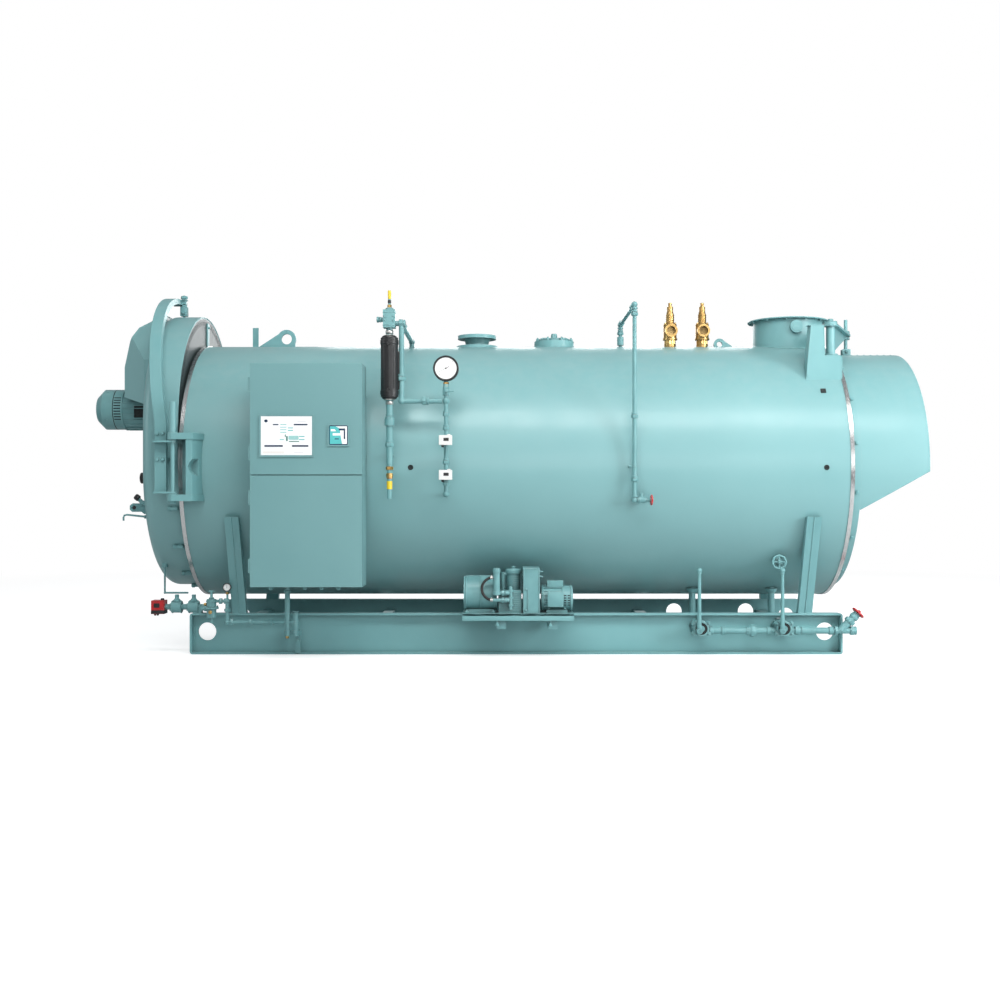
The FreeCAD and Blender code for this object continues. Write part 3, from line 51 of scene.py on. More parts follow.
# camera, floor and light
studio = {
    "cameraPlace": (-0.11, -9.0, 1.052),
    "lens": 44.2,
    "floorColor": (0.6, 0.605, 0.61),
    "paperNear": 5.0,
    "paperFar": 11.0,
    "paperGlow": 0.62,
    "floorRadius": 60.0,
    "backColor": (1.0, 1.0, 1.0),
    "skyLight": 0.38,
    # place, point it looks at, width, height, watts, colour
    "lamps": {
        "topLight": ((0.9, -4.6, 5.6), (1.1, -0.3, 1.4), 7.2, 1.6, 330, (1.0, 0.99, 0.97)),
        "frontLight": ((1.5, -10.5, 2.6), (0.3, 0, 1.2), 6.5, 2.4, 168, (1.0, 1.0, 1.0)),
        "rightLight": ((6.4, -4.4, 2.6), (2.2, 0, 1.3), 2.2, 3.2, 345, (0.96, 0.99, 1.0)),
        "leftLight": ((-7.2, -2.6, 3.0), (-2.5, 0, 1.5), 1.8, 3.0, 48, (0.97, 0.99, 1.0)),
        "backLight": ((1.0, 7.5, 4.6), (0, 0, 1.3), 7.0, 3.5, 330, (1.0, 1.0, 1.0)),
    },
}


def makeStudio():
    camera = bpy.data.objects.new("studioCamera", bpy.data.cameras.new("studioCamera"))
    scene.collection.objects.link(camera)
    camera.location = studio["cameraPlace"]
    camera.rotation_euler = (radians(90), 0, 0)
    camera.data.lens = studio["lens"]
    camera.data.sensor_width = 36
    camera.data.clip_end = 300
    scene.camera = camera

    world = bpy.data.worlds.new("studioWorld")
    scene.world = world
    world.use_nodes = True
    tree = world.node_tree
    tree.nodes.clear()
    sees = tree.nodes.new("ShaderNodeLightPath")
    lit = tree.nodes.new("ShaderNodeBackground")
    lit.inputs["Color"].default_value = (0.93, 0.97, 1.0, 1)
    lit.inputs["Strength"].default_value = studio["skyLight"]
    seen = tree.nodes.new("ShaderNodeBackground")
    seen.inputs["Color"].default_value = (*studio["backColor"], 1)
    mixed = tree.nodes.new("ShaderNodeMixShader")
    out = tree.nodes.new("ShaderNodeOutputWorld")
    tree.links.new(sees.outputs["Is Camera Ray"], mixed.inputs["Fac"])
    tree.links.new(lit.outputs["Background"], mixed.inputs[1])
    tree.links.new(seen.outputs["Background"], mixed.inputs[2])
    tree.links.new(mixed.outputs["Shader"], out.inputs["Surface"])

    for name, (place, target, width, height, watts, color) in studio["lamps"].items():
        lamp = bpy.data.lights.new(name, "AREA")
        lamp.shape = "RECTANGLE"
        lamp.size = width
        lamp.size_y = height
        lamp.energy = watts
        lamp.color = color
        holder = bpy.data.objects.new(name, lamp)
        holder.location = place
        holder.rotation_euler = (Vector(target) - Vector(place)).to_track_quat("-Z", "Y").to_euler()
        holder.visible_camera = False
        scene.collection.objects.link(holder)


makeStudio()
scene.view_settings.view_transform = "Standard"
print("camera and lights ready")


def newGroup(name, inputs, outputs):
    group = bpy.data.node_groups.new(name, "ShaderNodeTree")
    for label, kind, value in inputs:
        socket = group.interface.new_socket(label, in_out="INPUT", socket_type="NodeSocket" + kind)
        socket.default_value = value
    for label, kind in outputs:
        group.interface.new_socket(label, in_out="OUTPUT", socket_type="NodeSocket" + kind)
    return group, group.nodes.new("NodeGroupInput"), group.nodes.new("NodeGroupOutput")


def addNode(tree, kind, **settings):
    node = tree.nodes.new("ShaderNode" + kind)
    for key, value in settings.items():
        if hasattr(node, key):
            setattr(node, key, value)
    return node


def mathNode(tree, operation, first, second=None, clamp=False):
    node = addNode(tree, "Math", operation=operation, use_clamp=clamp)
    for index, value in enumerate((first, second)):
        if value is None:
            continue
        if isinstance(value, (int, float)):
            node.inputs[index].default_value = value
        else:
            tree.links.new(value, node.inputs[index])
    return node.outputs[0]


def mixColor(tree, factor, first, second, blend="MIX"):
    node = addNode(tree, "Mix", data_type="RGBA", blend_type=blend)
    for socket, value in ((node.inputs[0], factor), (node.inputs[6], first), (node.inputs[7], second)):
        if isinstance(value, (int, float)):
            socket.default_value = value
        elif isinstance(value, tuple):
            socket.default_value = (*value, 1)[:4]
        else:
            tree.links.new(value, socket)
    return node.outputs[2]


def spread(tree, value, low, high, toLow=0.0, toHigh=1.0):
    node = addNode(tree, "MapRange")
    tree.links.new(value, node.inputs["Value"])
    node.inputs["From Min"].default_value = low
    node.inputs["From Max"].default_value = high
    for label, target in (("To Min", toLow), ("To Max", toHigh)):
        if isinstance(target, (int, float)):
            node.inputs[label].default_value = target
        else:
            tree.links.new(target, node.inputs[label])
    return node.outputs["Result"]


def noiseNode(tree, scale, detail=3.0, stretch=None, where=None):
    noise = addNode(tree, "TexNoise")
    noise.inputs["Detail"].default_value = detail
    if isinstance(scale, (int, float)):
        noise.inputs["Scale"].default_value = scale
    else:
        tree.links.new(scale, noise.inputs["Scale"])
    if where is None:
        where = addNode(tree, "TexCoord").outputs["Object"]
    if stretch:
        mapping = addNode(tree, "Mapping")
        mapping.inputs["Scale"].default_value = stretch
        tree.links.new(where, mapping.inputs["Vector"])
        where = mapping.outputs["Vector"]
    tree.links.new(where, noise.inputs["Vector"])
    return noise.outputs["Fac"]


def makePaintSkin():
    # sprayed enamel: cloudy colour, gloss that changes from patch to patch, orange peel
    group, given, made = newGroup("paintSkin", [
        ("Paint", "Color", (0.2, 0.4, 0.4, 1)), ("Shaded Paint", "Color", (0.15, 0.33, 0.34, 1)),
        ("Cloud Scale", "Float", 2.0), ("Gloss Low", "Float", 0.3), ("Gloss High", "Float", 0.45),
        ("Peel Scale", "Float", 260.0), ("Peel", "Float", 0.25)],
        [("Color", "Color"), ("Roughness", "Float"), ("Height", "Float")])
    clouds = noiseNode(group, given.outputs["Cloud Scale"], 4)
    cloudy = spread(group, clouds, 0.3, 0.72)
    group.links.new(mixColor(group, cloudy, given.outputs["Shaded Paint"], given.outputs["Paint"]),
        made.inputs["Color"])
    patches = noiseNode(group, 7.0, 5)
    group.links.new(spread(group, patches, 0.35, 0.68, given.outputs["Gloss Low"], given.outputs["Gloss High"]),
        made.inputs["Roughness"])
    peel = noiseNode(group, given.outputs["Peel Scale"], 1.5)
    waves = noiseNode(group, 3.2, 1.0)
    height = mathNode(group, "ADD", mathNode(group, "MULTIPLY", peel, given.outputs["Peel"]),
        mathNode(group, "MULTIPLY", waves, 1.2))
    group.links.new(height, made.inputs["Height"])
    return group


def makeEdgeWear():
    # rubbed corners: where the rounded normal leaves the true one, the coat is thin
    group, given, made = newGroup("edgeWear", [
        ("Under", "Color", (0.2, 0.4, 0.4, 1)), ("Worn", "Color", (0.5, 0.6, 0.6, 1)),
        ("Wear", "Float", 0.5), ("Width", "Float", 0.004), ("Under Roughness", "Float", 0.4),
        ("Worn Roughness", "Float", 0.3)],
        [("Color", "Color"), ("Roughness", "Float"), ("Mask", "Float")])
    bevel = addNode(group, "Bevel", samples=4)
    group.links.new(given.outputs["Width"], bevel.inputs["Radius"])
    true = addNode(group, "NewGeometry")
    facing = addNode(group, "VectorMath", operation="DOT_PRODUCT")
    group.links.new(bevel.outputs["Normal"], facing.inputs[0])
    group.links.new(true.outputs["Normal"], facing.inputs[1])
    bend = spread(group, facing.outputs["Value"], 0.995, 0.86)
    rub = spread(group, noiseNode(group, 26.0, 6), 0.42, 0.62)
    mask = mathNode(group, "MULTIPLY", mathNode(group, "MULTIPLY", bend, rub), given.outputs["Wear"], True)
    group.links.new(mixColor(group, mask, given.outputs["Under"], given.outputs["Worn"]), made.inputs["Color"])
    rough = addNode(group, "Mix", data_type="FLOAT")
    group.links.new(mask, rough.inputs[0])
    group.links.new(given.outputs["Under Roughness"], rough.inputs[2])
    group.links.new(given.outputs["Worn Roughness"], rough.inputs[3])
    group.links.new(rough.outputs[0], made.inputs["Roughness"])
    group.links.new(mask, made.inputs["Mask"])
    return group


def makeDustAndCornerShade():
    # dust on what faces up, and painted shade that darkens the colour near the floor and in corners, where ambient
    # occlusion finds nearby surfaces
    group, given, made = newGroup("dustAndCornerShade", [
        ("Under", "Color", (0.2, 0.4, 0.4, 1)), ("Dust", "Color", (0.55, 0.58, 0.55, 1)),
        ("Corner Shade", "Color", (0.06, 0.1, 0.1, 1)), ("Dust Amount", "Float", 0.15),
        ("Film Amount", "Float", 0.3), ("Under Roughness", "Float", 0.4)],
        [("Color", "Color"), ("Roughness", "Float")])
    split = addNode(group, "SeparateXYZ")
    group.links.new(addNode(group, "NewGeometry").outputs["Normal"], split.inputs[0])
    upward = spread(group, split.outputs["Z"], 0.35, 1.0)
    specks = spread(group, noiseNode(group, 14.0, 8), 0.38, 0.66)
    dust = mathNode(group, "MULTIPLY", mathNode(group, "MULTIPLY", upward, specks), given.outputs["Dust Amount"],
        True)
    # painted shade: occluded corners and creases are pulled towards the dark shade colour
    corners = addNode(group, "AmbientOcclusion", samples=4, inside=False)
    corners.inputs["Distance"].default_value = 0.09
    shadeMask = spread(group, corners.outputs["AO"], 0.75, 0.15)
    cornerShade = mathNode(group, "MULTIPLY", shadeMask, given.outputs["Film Amount"], True)
    layered = mixColor(group, dust, given.outputs["Under"], given.outputs["Dust"])
    group.links.new(mixColor(group, cornerShade, layered, given.outputs["Corner Shade"]), made.inputs["Color"])
    rough = mathNode(group, "ADD", given.outputs["Under Roughness"], mathNode(group, "MULTIPLY", dust, 0.5), True)
    group.links.new(rough, made.inputs["Roughness"])
    return group


def makeBrushedLines():
    # fine rolled or brushed lines along one way, with broad bright and dull bands
    group, given, made = newGroup("brushedLines", [
        ("Metal", "Color", (0.7, 0.7, 0.7, 1)), ("Dull Metal", "Color", (0.45, 0.45, 0.45, 1)),
        ("Line Scale", "Float", 40.0), ("Gloss Low", "Float", 0.2), ("Gloss High", "Float", 0.4)],
        [("Color", "Color"), ("Roughness", "Float"), ("Height", "Float")])
    lines = noiseNode(group, given.outputs["Line Scale"], 6, stretch=(14, 1, 1))
    bands = noiseNode(group, 5.0, 4)
    both = mathNode(group, "MULTIPLY", mathNode(group, "ADD", lines, bands), 0.5)
    even = spread(group, both, 0.36, 0.64)
    group.links.new(mixColor(group, even, given.outputs["Dull Metal"], given.outputs["Metal"]), made.inputs["Color"])
    group.links.new(spread(group, both, 0.3, 0.7, given.outputs["Gloss High"], given.outputs["Gloss Low"]),
        made.inputs["Roughness"])
    group.links.new(lines, made.inputs["Height"])
    return group


def makeCastGrain():
    # sand-cast skin: pits and small lumps, darker in the pits
    group, given, made = newGroup("castGrain", [
        ("Metal", "Color", (0.7, 0.5, 0.2, 1)), ("Pit", "Color", (0.3, 0.2, 0.08, 1)),
        ("Grain Scale", "Float", 220.0), ("Gloss Low", "Float", 0.25), ("Gloss High", "Float", 0.5)],
        [("Color", "Color"), ("Roughness", "Float"), ("Height", "Float")])
    cells = addNode(group, "TexVoronoi", feature="SMOOTH_F1")
    group.links.new(given.outputs["Grain Scale"], cells.inputs["Scale"])
    group.links.new(addNode(group, "TexCoord").outputs["Object"], cells.inputs["Vector"])
    stains = noiseNode(group, 9.0, 6)
    lumps = mathNode(group, "ADD", mathNode(group, "MULTIPLY", cells.outputs["Distance"], 0.6), stains)
    even = spread(group, lumps, 0.45, 0.95)
    group.links.new(mixColor(group, even, given.outputs["Metal"], given.outputs["Pit"]), made.inputs["Color"])
    group.links.new(spread(group, lumps, 0.4, 1.0, given.outputs["Gloss Low"], given.outputs["Gloss High"]),
        made.inputs["Roughness"])
    group.links.new(cells.outputs["Distance"], made.inputs["Height"])
    return group


paintSkin = makePaintSkin()
edgeWear = makeEdgeWear()
dustAndCornerShade = makeDustAndCornerShade()
brushedLines = makeBrushedLines()
castGrain = makeCastGrain()
print("shader groups ready")


def placeGroup(tree, group, **given):
    node = tree.nodes.new("ShaderNodeGroup")
    node.node_tree = group
    for label, value in given.items():
        socket = node.inputs[label.replace("_", " ")]
        if isinstance(value, (int, float)):
            socket.default_value = value
        elif isinstance(value, tuple):
            socket.default_value = (*value, 1)[:4]
        else:
            tree.links.new(value, socket)
    return node.outputs


def newMaterial(name, metallic=0.0, coat=0.0, specular=0.5):
    material = bpy.data.materials.new(name)
    material.use_nodes = True
    tree = material.node_tree
    shader = tree.nodes["Principled BSDF"]
    shader.inputs["Metallic"].default_value = metallic
    shader.inputs["Coat Weight"].default_value = coat
    shader.inputs["Coat Roughness"].default_value = 0.12
    shader.inputs["Specular IOR Level"].default_value = specular
    return material, tree, shader


def addBump(tree, shader, height, strength, distance):
    bump = addNode(tree, "Bump")
    bump.inputs["Strength"].default_value = strength
    bump.inputs["Distance"].default_value = distance
    tree.links.new(height, bump.inputs["Height"])
    tree.links.new(bump.outputs["Normal"], shader.inputs["Normal"])


# colour, shaded colour, cloud scale, low and high roughness, peel, wear, dust, painted corner shade, bump strength
paints = {
    "tealShell": ((0.198, 0.392, 0.404), (0.176, 0.362, 0.376), 1.1, 0.34, 0.46, 0.22, 0.35, 0.1, 0.45, 0.25),
    "tealCabinet": ((0.16, 0.33, 0.341), (0.144, 0.308, 0.32), 1.6, 0.4, 0.5, 0.35, 0.45, 0.08, 0.4, 0.2),
    "tealPlate": ((0.178, 0.388, 0.402), (0.146, 0.34, 0.356), 2.6, 0.38, 0.52, 0.4, 0.6, 0.12, 0.6, 0.35),
    "tealFitting": ((0.165, 0.365, 0.378), (0.12, 0.29, 0.304), 9.0, 0.36, 0.54, 0.55, 0.75, 0.12, 0.7, 0.45),
    "redEnamel": ((0.56, 0.022, 0.026), (0.42, 0.012, 0.016), 14.0, 0.28, 0.42, 0.35, 0.6, 0.08, 0.6, 0.3),
    "yellowEnamel": ((0.83, 0.64, 0.03), (0.72, 0.5, 0.02), 16.0, 0.3, 0.45, 0.3, 0.5, 0.06, 0.5, 0.25),
}
wornPaint = {"tealShell": (0.33, 0.53, 0.54), "tealCabinet": (0.38, 0.58, 0.59), "tealPlate": (0.34, 0.53, 0.54),
    "tealFitting": (0.34, 0.5, 0.5), "redEnamel": (0.62, 0.22, 0.18), "yellowEnamel": (0.85, 0.75, 0.35)}


def paintMaterial(name):
    paint, shaded, clouds, low, high, peel, wear, dust, cornerShade, bump = paints[name]
    material, tree, shader = newMaterial(name, coat=0.12)
    skin = placeGroup(tree, paintSkin, Paint=paint, Shaded_Paint=shaded, Cloud_Scale=clouds, Gloss_Low=low,
        Gloss_High=high, Peel=peel)
    worn = placeGroup(tree, edgeWear, Under=skin["Color"], Worn=wornPaint[name], Wear=wear, Width=0.003,
        Under_Roughness=skin["Roughness"], Worn_Roughness=0.32)
    # real dust on upward faces, and painted shade in occluded corners
    layered = placeGroup(tree, dustAndCornerShade, Under=worn["Color"], Dust_Amount=dust, Film_Amount=cornerShade,
        Under_Roughness=worn["Roughness"])
    tree.links.new(layered["Color"], shader.inputs["Base Color"])
    tree.links.new(layered["Roughness"], shader.inputs["Roughness"])
    addBump(tree, shader, skin["Height"], bump, 0.0012)
    return material


# metal, dull metal, line scale, low and high roughness, bump
rolledMetals = {
    "bandSteel": ((0.8, 0.8, 0.79), (0.56, 0.57, 0.58), 30.0, 0.16, 0.32, 0.1),
    "bareSteel": ((0.36, 0.35, 0.34), (0.19, 0.18, 0.175), 22.0, 0.38, 0.62, 0.3),
    "zincSteel": ((0.6, 0.6, 0.58), (0.42, 0.42, 0.41), 60.0, 0.28, 0.46, 0.2),
}


def rolledMaterial(name):
    metal, dull, lines, low, high, bump = rolledMetals[name]
    material, tree, shader = newMaterial(name, metallic=1.0)
    skin = placeGroup(tree, brushedLines, Metal=metal, Dull_Metal=dull, Line_Scale=lines, Gloss_Low=low,
        Gloss_High=high)
    worn = placeGroup(tree, edgeWear, Under=skin["Color"], Worn=(0.85, 0.85, 0.84), Wear=0.6, Width=0.002,
        Under_Roughness=skin["Roughness"], Worn_Roughness=0.2)
    # real dust on upward faces, and painted shade in occluded corners
    layered = placeGroup(tree, dustAndCornerShade, Under=worn["Color"], Dust_Amount=0.06, Film_Amount=0.5,
        Under_Roughness=worn["Roughness"])
    tree.links.new(layered["Color"], shader.inputs["Base Color"])
    tree.links.new(layered["Roughness"], shader.inputs["Roughness"])
    addBump(tree, shader, skin["Height"], bump, 0.0006)
    return material


# metal, pit, grain scale, low and high roughness, metallic, bump, worn edge
castSkins = {
    "castBrass": ((0.74, 0.5, 0.2), (0.4, 0.24, 0.08), 190.0, 0.22, 0.46, 1.0, 0.35, (0.92, 0.72, 0.38)),
    "copperTube": ((0.72, 0.36, 0.2), (0.42, 0.19, 0.1), 120.0, 0.22, 0.4, 1.0, 0.15, (0.9, 0.6, 0.42)),
    "refractory": ((0.56, 0.5, 0.4), (0.36, 0.31, 0.24), 60.0, 0.8, 0.95, 0.0, 0.9, (0.66, 0.6, 0.5)),
    "blackPlastic": ((0.02, 0.021, 0.023), (0.01, 0.01, 0.011), 300.0, 0.3, 0.5, 0.0, 0.3, (0.09, 0.09, 0.09)),
    "blackRubber": ((0.016, 0.016, 0.017), (0.028, 0.027, 0.026), 240.0, 0.62, 0.8, 0.0, 0.4, (0.05, 0.05, 0.05)),
    # painted shade: near black for openings, slots, holes and bores, where only shade is seen
    "darkHollow": ((0.012, 0.02, 0.021), (0.004, 0.006, 0.006), 90.0, 0.6, 0.85, 0.0, 0.4, (0.05, 0.08, 0.08)),
    "switchWhite": ((0.8, 0.81, 0.8), (0.7, 0.71, 0.69), 260.0, 0.34, 0.5, 0.0, 0.15, (0.9, 0.9, 0.88)),
    "dialWhite": ((0.86, 0.87, 0.87), (0.8, 0.81, 0.8), 320.0, 0.22, 0.34, 0.0, 0.05, (0.9, 0.9, 0.9)),
    "displayWhite": ((0.9, 0.91, 0.91), (0.86, 0.87, 0.88), 400.0, 0.16, 0.24, 0.0, 0.02, (0.92, 0.92, 0.92)),
    "displayNavy": ((0.022, 0.045, 0.1), (0.018, 0.036, 0.08), 400.0, 0.18, 0.26, 0.0, 0.02, (0.05, 0.08, 0.14)),
    "displayTeal": ((0.1, 0.52, 0.52), (0.08, 0.45, 0.46), 400.0, 0.18, 0.26, 0.0, 0.02, (0.2, 0.6, 0.6)),
    "displayDrum": ((0.4, 0.66, 0.64), (0.3, 0.56, 0.55), 300.0, 0.18, 0.26, 0.0, 0.02, (0.5, 0.7, 0.7)),
    "displayGreen": ((0.09, 0.26, 0.22), (0.07, 0.2, 0.17), 300.0, 0.18, 0.26, 0.0, 0.02, (0.2, 0.4, 0.3)),
    "displayGrey": ((0.62, 0.58, 0.6), (0.56, 0.52, 0.54), 400.0, 0.18, 0.26, 0.0, 0.02, (0.7, 0.7, 0.7)),
    "displayPale": ((0.84, 0.81, 0.78), (0.8, 0.77, 0.74), 400.0, 0.18, 0.26, 0.0, 0.02, (0.9, 0.9, 0.9)),
}


def castMaterial(name):
    metal, pit, grain, low, high, metallic, bump, edge = castSkins[name]
    material, tree, shader = newMaterial(name, metallic=metallic)
    skin = placeGroup(tree, castGrain, Metal=metal, Pit=pit, Grain_Scale=grain, Gloss_Low=low, Gloss_High=high)
    worn = placeGroup(tree, edgeWear, Under=skin["Color"], Worn=edge, Wear=0.7, Width=0.002,
        Under_Roughness=skin["Roughness"], Worn_Roughness=low)
    # real dust on upward faces, and painted shade in occluded corners
    layered = placeGroup(tree, dustAndCornerShade, Under=worn["Color"], Dust_Amount=0.08, Film_Amount=0.4,
        Under_Roughness=worn["Roughness"])
    tree.links.new(layered["Color"], shader.inputs["Base Color"])
    tree.links.new(layered["Roughness"], shader.inputs["Roughness"])
    addBump(tree, shader, skin["Height"], bump, 0.0008)
    return material


perforated = {
    "steel": (0.05, 0.072, 0.075),
    "bright": (0.095, 0.128, 0.132),
    # painted shade seen through each hole
    "hole": (0.008, 0.012, 0.013),
    "holesPerMetre": 95.0,
    "cloudScale": 5.0,
}


def perforatedMaterial():
    # rows of punched holes in the air inlet's screen, each painted as a dark spot of shade
    material, tree, shader = newMaterial("perforatedSteel")
    place = addNode(tree, "TexCoord")
    holes = addNode(tree, "TexVoronoi", voronoi_dimensions="3D")
    holes.inputs["Scale"].default_value = perforated["holesPerMetre"]
    holes.inputs["Randomness"].default_value = 0.0
    tree.links.new(place.outputs["Object"], holes.inputs["Vector"])
    solid = spread(tree, holes.outputs["Distance"], 0.3, 0.42)
    clouds = spread(tree, noiseNode(tree, perforated["cloudScale"], 4), 0.3, 0.7)
    steel = mixColor(tree, clouds, perforated["steel"], perforated["bright"])
    tree.links.new(mixColor(tree, solid, perforated["hole"], steel), shader.inputs["Base Color"])
    tree.links.new(spread(tree, solid, 0.0, 1.0, 0.9, 0.42), shader.inputs["Roughness"])
    addBump(tree, shader, solid, 0.6, 0.001)
    return material


materials = {name: paintMaterial(name) for name in paints}
materials["perforatedSteel"] = perforatedMaterial()
materials.update({name: rolledMaterial(name) for name in rolledMetals})
materials.update({name: castMaterial(name) for name in castSkins})


def makeFloor():
    # the paper lifts to pure white away from the boiler, so that no horizon line shows
    bm = bmesh.new()
    bmesh.ops.create_circle(bm, cap_ends=True, segments=96, radius=studio["floorRadius"])
    mesh = bpy.data.meshes.new("studioFloor")
    bm.to_mesh(mesh)
    bm.free()
    floor = bpy.data.objects.new("studioFloor", mesh)
    scene.collection.objects.link(floor)
    material, tree, shader = newMaterial("palePaper", specular=0.0)
    place = addNode(tree, "TexCoord")
    away = addNode(tree, "VectorMath", operation="LENGTH")
    tree.links.new(place.outputs["Object"], away.inputs[0])
    lift = spread(tree, away.outputs["Value"], studio["paperNear"], studio["paperFar"])
    tone = spread(tree, noiseNode(tree, 0.6, 3), 0.3, 0.7)
    pale = studio["floorColor"]
    paper = mixColor(tree, tone, tuple(part * 0.985 for part in pale), pale)
    tree.links.new(mixColor(tree, lift, paper, (0.0, 0.0, 0.0)), shader.inputs["Base Color"])
    shader.inputs["Roughness"].default_value = 0.95
    glow = addNode(tree, "Emission")
    glow.inputs["Color"].default_value = (1, 1, 1, 1)
    tree.links.new(spread(tree, lift, 0.0, 1.0, studio["paperGlow"], 1.0), glow.inputs["Strength"])
    sees = addNode(tree, "LightPath")
    plain = addNode(tree, "AddShader")
    shown = addNode(tree, "MixShader")
    tree.links.new(shader.outputs[0], plain.inputs[0])
    tree.links.new(glow.outputs[0], plain.inputs[1])
    tree.links.new(sees.outputs["Is Camera Ray"], shown.inputs["Fac"])
    tree.links.new(shader.outputs[0], shown.inputs[1])
    tree.links.new(plain.outputs[0], shown.inputs[2])
    tree.links.new(shown.outputs[0], tree.nodes["Material Output"].inputs["Surface"])
    mesh.materials.append(material)


makeFloor()

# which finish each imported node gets
nodeFinish = {
    "tealShell": ["shell_jacket", "front_head", "rear_door", "rear_hood", "fan_hood"],
    "tealCabinet": ["control_cabinet", "cabinet_upper_door", "cabinet_lower_door"],
    "bandSteel": ["end_bands"],
    "bareSteel": ["front_tube_sheet", "rear_tube_sheet", "furnace_tube"],
    "refractory": ["head_lining"],
    "castBrass": ["safety_valve_front", "safety_valve_rear"],
    "blackPlastic": ["level_sensor", "pressure_gauge"],
    "switchWhite": ["switch_boxes"],
    "redEnamel": ["gas_actuator", "blowdown_handwheel"],
    "blackRubber": ["air_hose"],
    "perforatedSteel": ["inlet_screen"],
    "tealPlate": ["skid_rail_near", "skid_rail_far", "skid_cross_members", "front_legs", "rear_legs",
                  "stack_outlet", "lifting_lugs", "manway", "steam_nozzle", "head_strap", "head_hinge",
                  "rear_davit_bracket", "rear_davit_arm", "rear_hanger_rod", "compressor_base"],
}
finishOf = {node: finish for finish, members in nodeFinish.items() for node in members}
for name, part in nodes.items():
    part.data.materials.clear()
    part.data.materials.append(materials[finishOf.get(name, "tealFitting")])
print("packed nodes have their finishes")


# mesh helpers
def placeAt(point, direction=(0, 0, 1), spin=0.0):
    turn = Vector(direction).to_track_quat("Z", "Y").to_matrix().to_4x4()
    return Matrix.Translation(Vector(point)) @ turn @ Matrix.Rotation(spin, 4, "Z")


def tilted(point, turn, axis):
    return Matrix.Translation(Vector(point)) @ Matrix.Rotation(turn, 4, axis)


def addTurned(bm, profile, place, steps=28, materialIndex=0):
    # profile: (radius, height) pairs along the local Z; a radius of 0 closes to a point
    rings = []
    for radius, height in profile:
        if radius <= 0:
            rings.append([bm.verts.new(place @ Vector((0, 0, height)))])
            continue
        rings.append([bm.verts.new(place @ Vector((radius * cos(2 * pi * step / steps),
            radius * sin(2 * pi * step / steps), height))) for step in range(steps)])
    for under, over in zip(rings, rings[1:]):
        for step in range(steps):
            after = (step + 1) % steps
            corners = [under[step % len(under)], under[after % len(under)], over[after % len(over)],
                over[step % len(over)]]
            corners = list(dict.fromkeys(corners))
            if len(corners) > 2:
                bm.faces.new(corners).material_index = materialIndex


def turnAt(bm, profile, point, direction, steps=28):
    addTurned(bm, profile, placeAt(point, direction), steps)


def addCollar(bm, inner, outer, height, edge, point, direction, steps):
    # a band round a pipe, its two ends chamfered by edge
    profile = [(inner, 0), (outer, edge), (outer, height), (inner, height + edge)]
    turnAt(bm, profile, point, direction, steps)


def addCap(bm, outer, inner, heights, point, direction, steps):
    # a screw head or plug: a straight side, a chamfer and a closed top
    side, shoulder, top = heights
    profile = [(outer, 0), (outer, side), (inner, shoulder), (0, top)]
    turnAt(bm, profile, point, direction, steps)


def addBlock(bm, size, place, edge=0.002, materialIndex=0):
    made = bmesh.ops.create_cube(bm, size=1.0, matrix=place @ Matrix.Diagonal((*size, 1.0)))
    edges = list({line for vert in made["verts"] for line in vert.link_edges})
    faces = list({face for vert in made["verts"] for face in vert.link_faces})
    if edge:
        cut = bmesh.ops.bevel(bm, geom=edges, offset=edge, segments=2, profile=0.6, affect="EDGES")
        faces = [face for face in faces if face.is_valid] + cut["faces"]
    for face in faces:
        face.material_index = materialIndex


def addPlate(bm, outline, thickness, place, materialIndex=0):
    # outline: (x, y) pairs in the local plane, pulled along the local Z
    low = [bm.verts.new(place @ Vector((x, y, 0))) for x, y in outline]
    high = [bm.verts.new(place @ Vector((x, y, thickness))) for x, y in outline]
    count = len(outline)
    faces = [bm.faces.new(low[::-1]), bm.faces.new(high)]
    faces += [bm.faces.new((low[i], low[(i + 1) % count], high[(i + 1) % count], high[i])) for i in range(count)]
    for face in faces:
        face.material_index = materialIndex


def addTube(bm, path, radius, steps=12, closed=False, materialIndex=0):
    # a tube of even or changing radius along a list of points
    points = [Vector(point) for point in path]
    count = len(points)
    rings = []
    side = None
    for index, point in enumerate(points):
        before = points[index - 1] if index or closed else point
        after = points[(index + 1) % count] if index + 1 < count or closed else point
        along = (after - before).normalized()
        if side is None:
            side = along.orthogonal().normalized()
        side = (side - along * side.dot(along)).normalized()
        other = along.cross(side)
        wide = radius[index] if isinstance(radius, (list, tuple)) else radius
        rings.append([bm.verts.new(point + (side * cos(turn) + other * sin(turn)) * wide)
            for turn in (2 * pi * step / steps for step in range(steps))])
    pairs = list(zip(rings, rings[1:])) + ([(rings[-1], rings[0])] if closed else [])
    for under, over in pairs:
        for step in range(steps):
            after = (step + 1) % steps
            bm.faces.new((under[step], under[after], over[after], over[step])).material_index = materialIndex
    if not closed:
        bm.faces.new(rings[0][::-1]).material_index = materialIndex
        bm.faces.new(rings[-1]).material_index = materialIndex


def addHex(bm, across, height, point, direction, spin=0.0, materialIndex=0):
    # a nut or bolt head: six flats and a chamfered crown
    wide = across / sqrt(3)
    profile = [(0, 0), (wide, 0), (wide, height * 0.82), (wide * 0.88, height), (0, height)]
    addTurned(bm, profile, placeAt(point, direction, spin), 6, materialIndex)


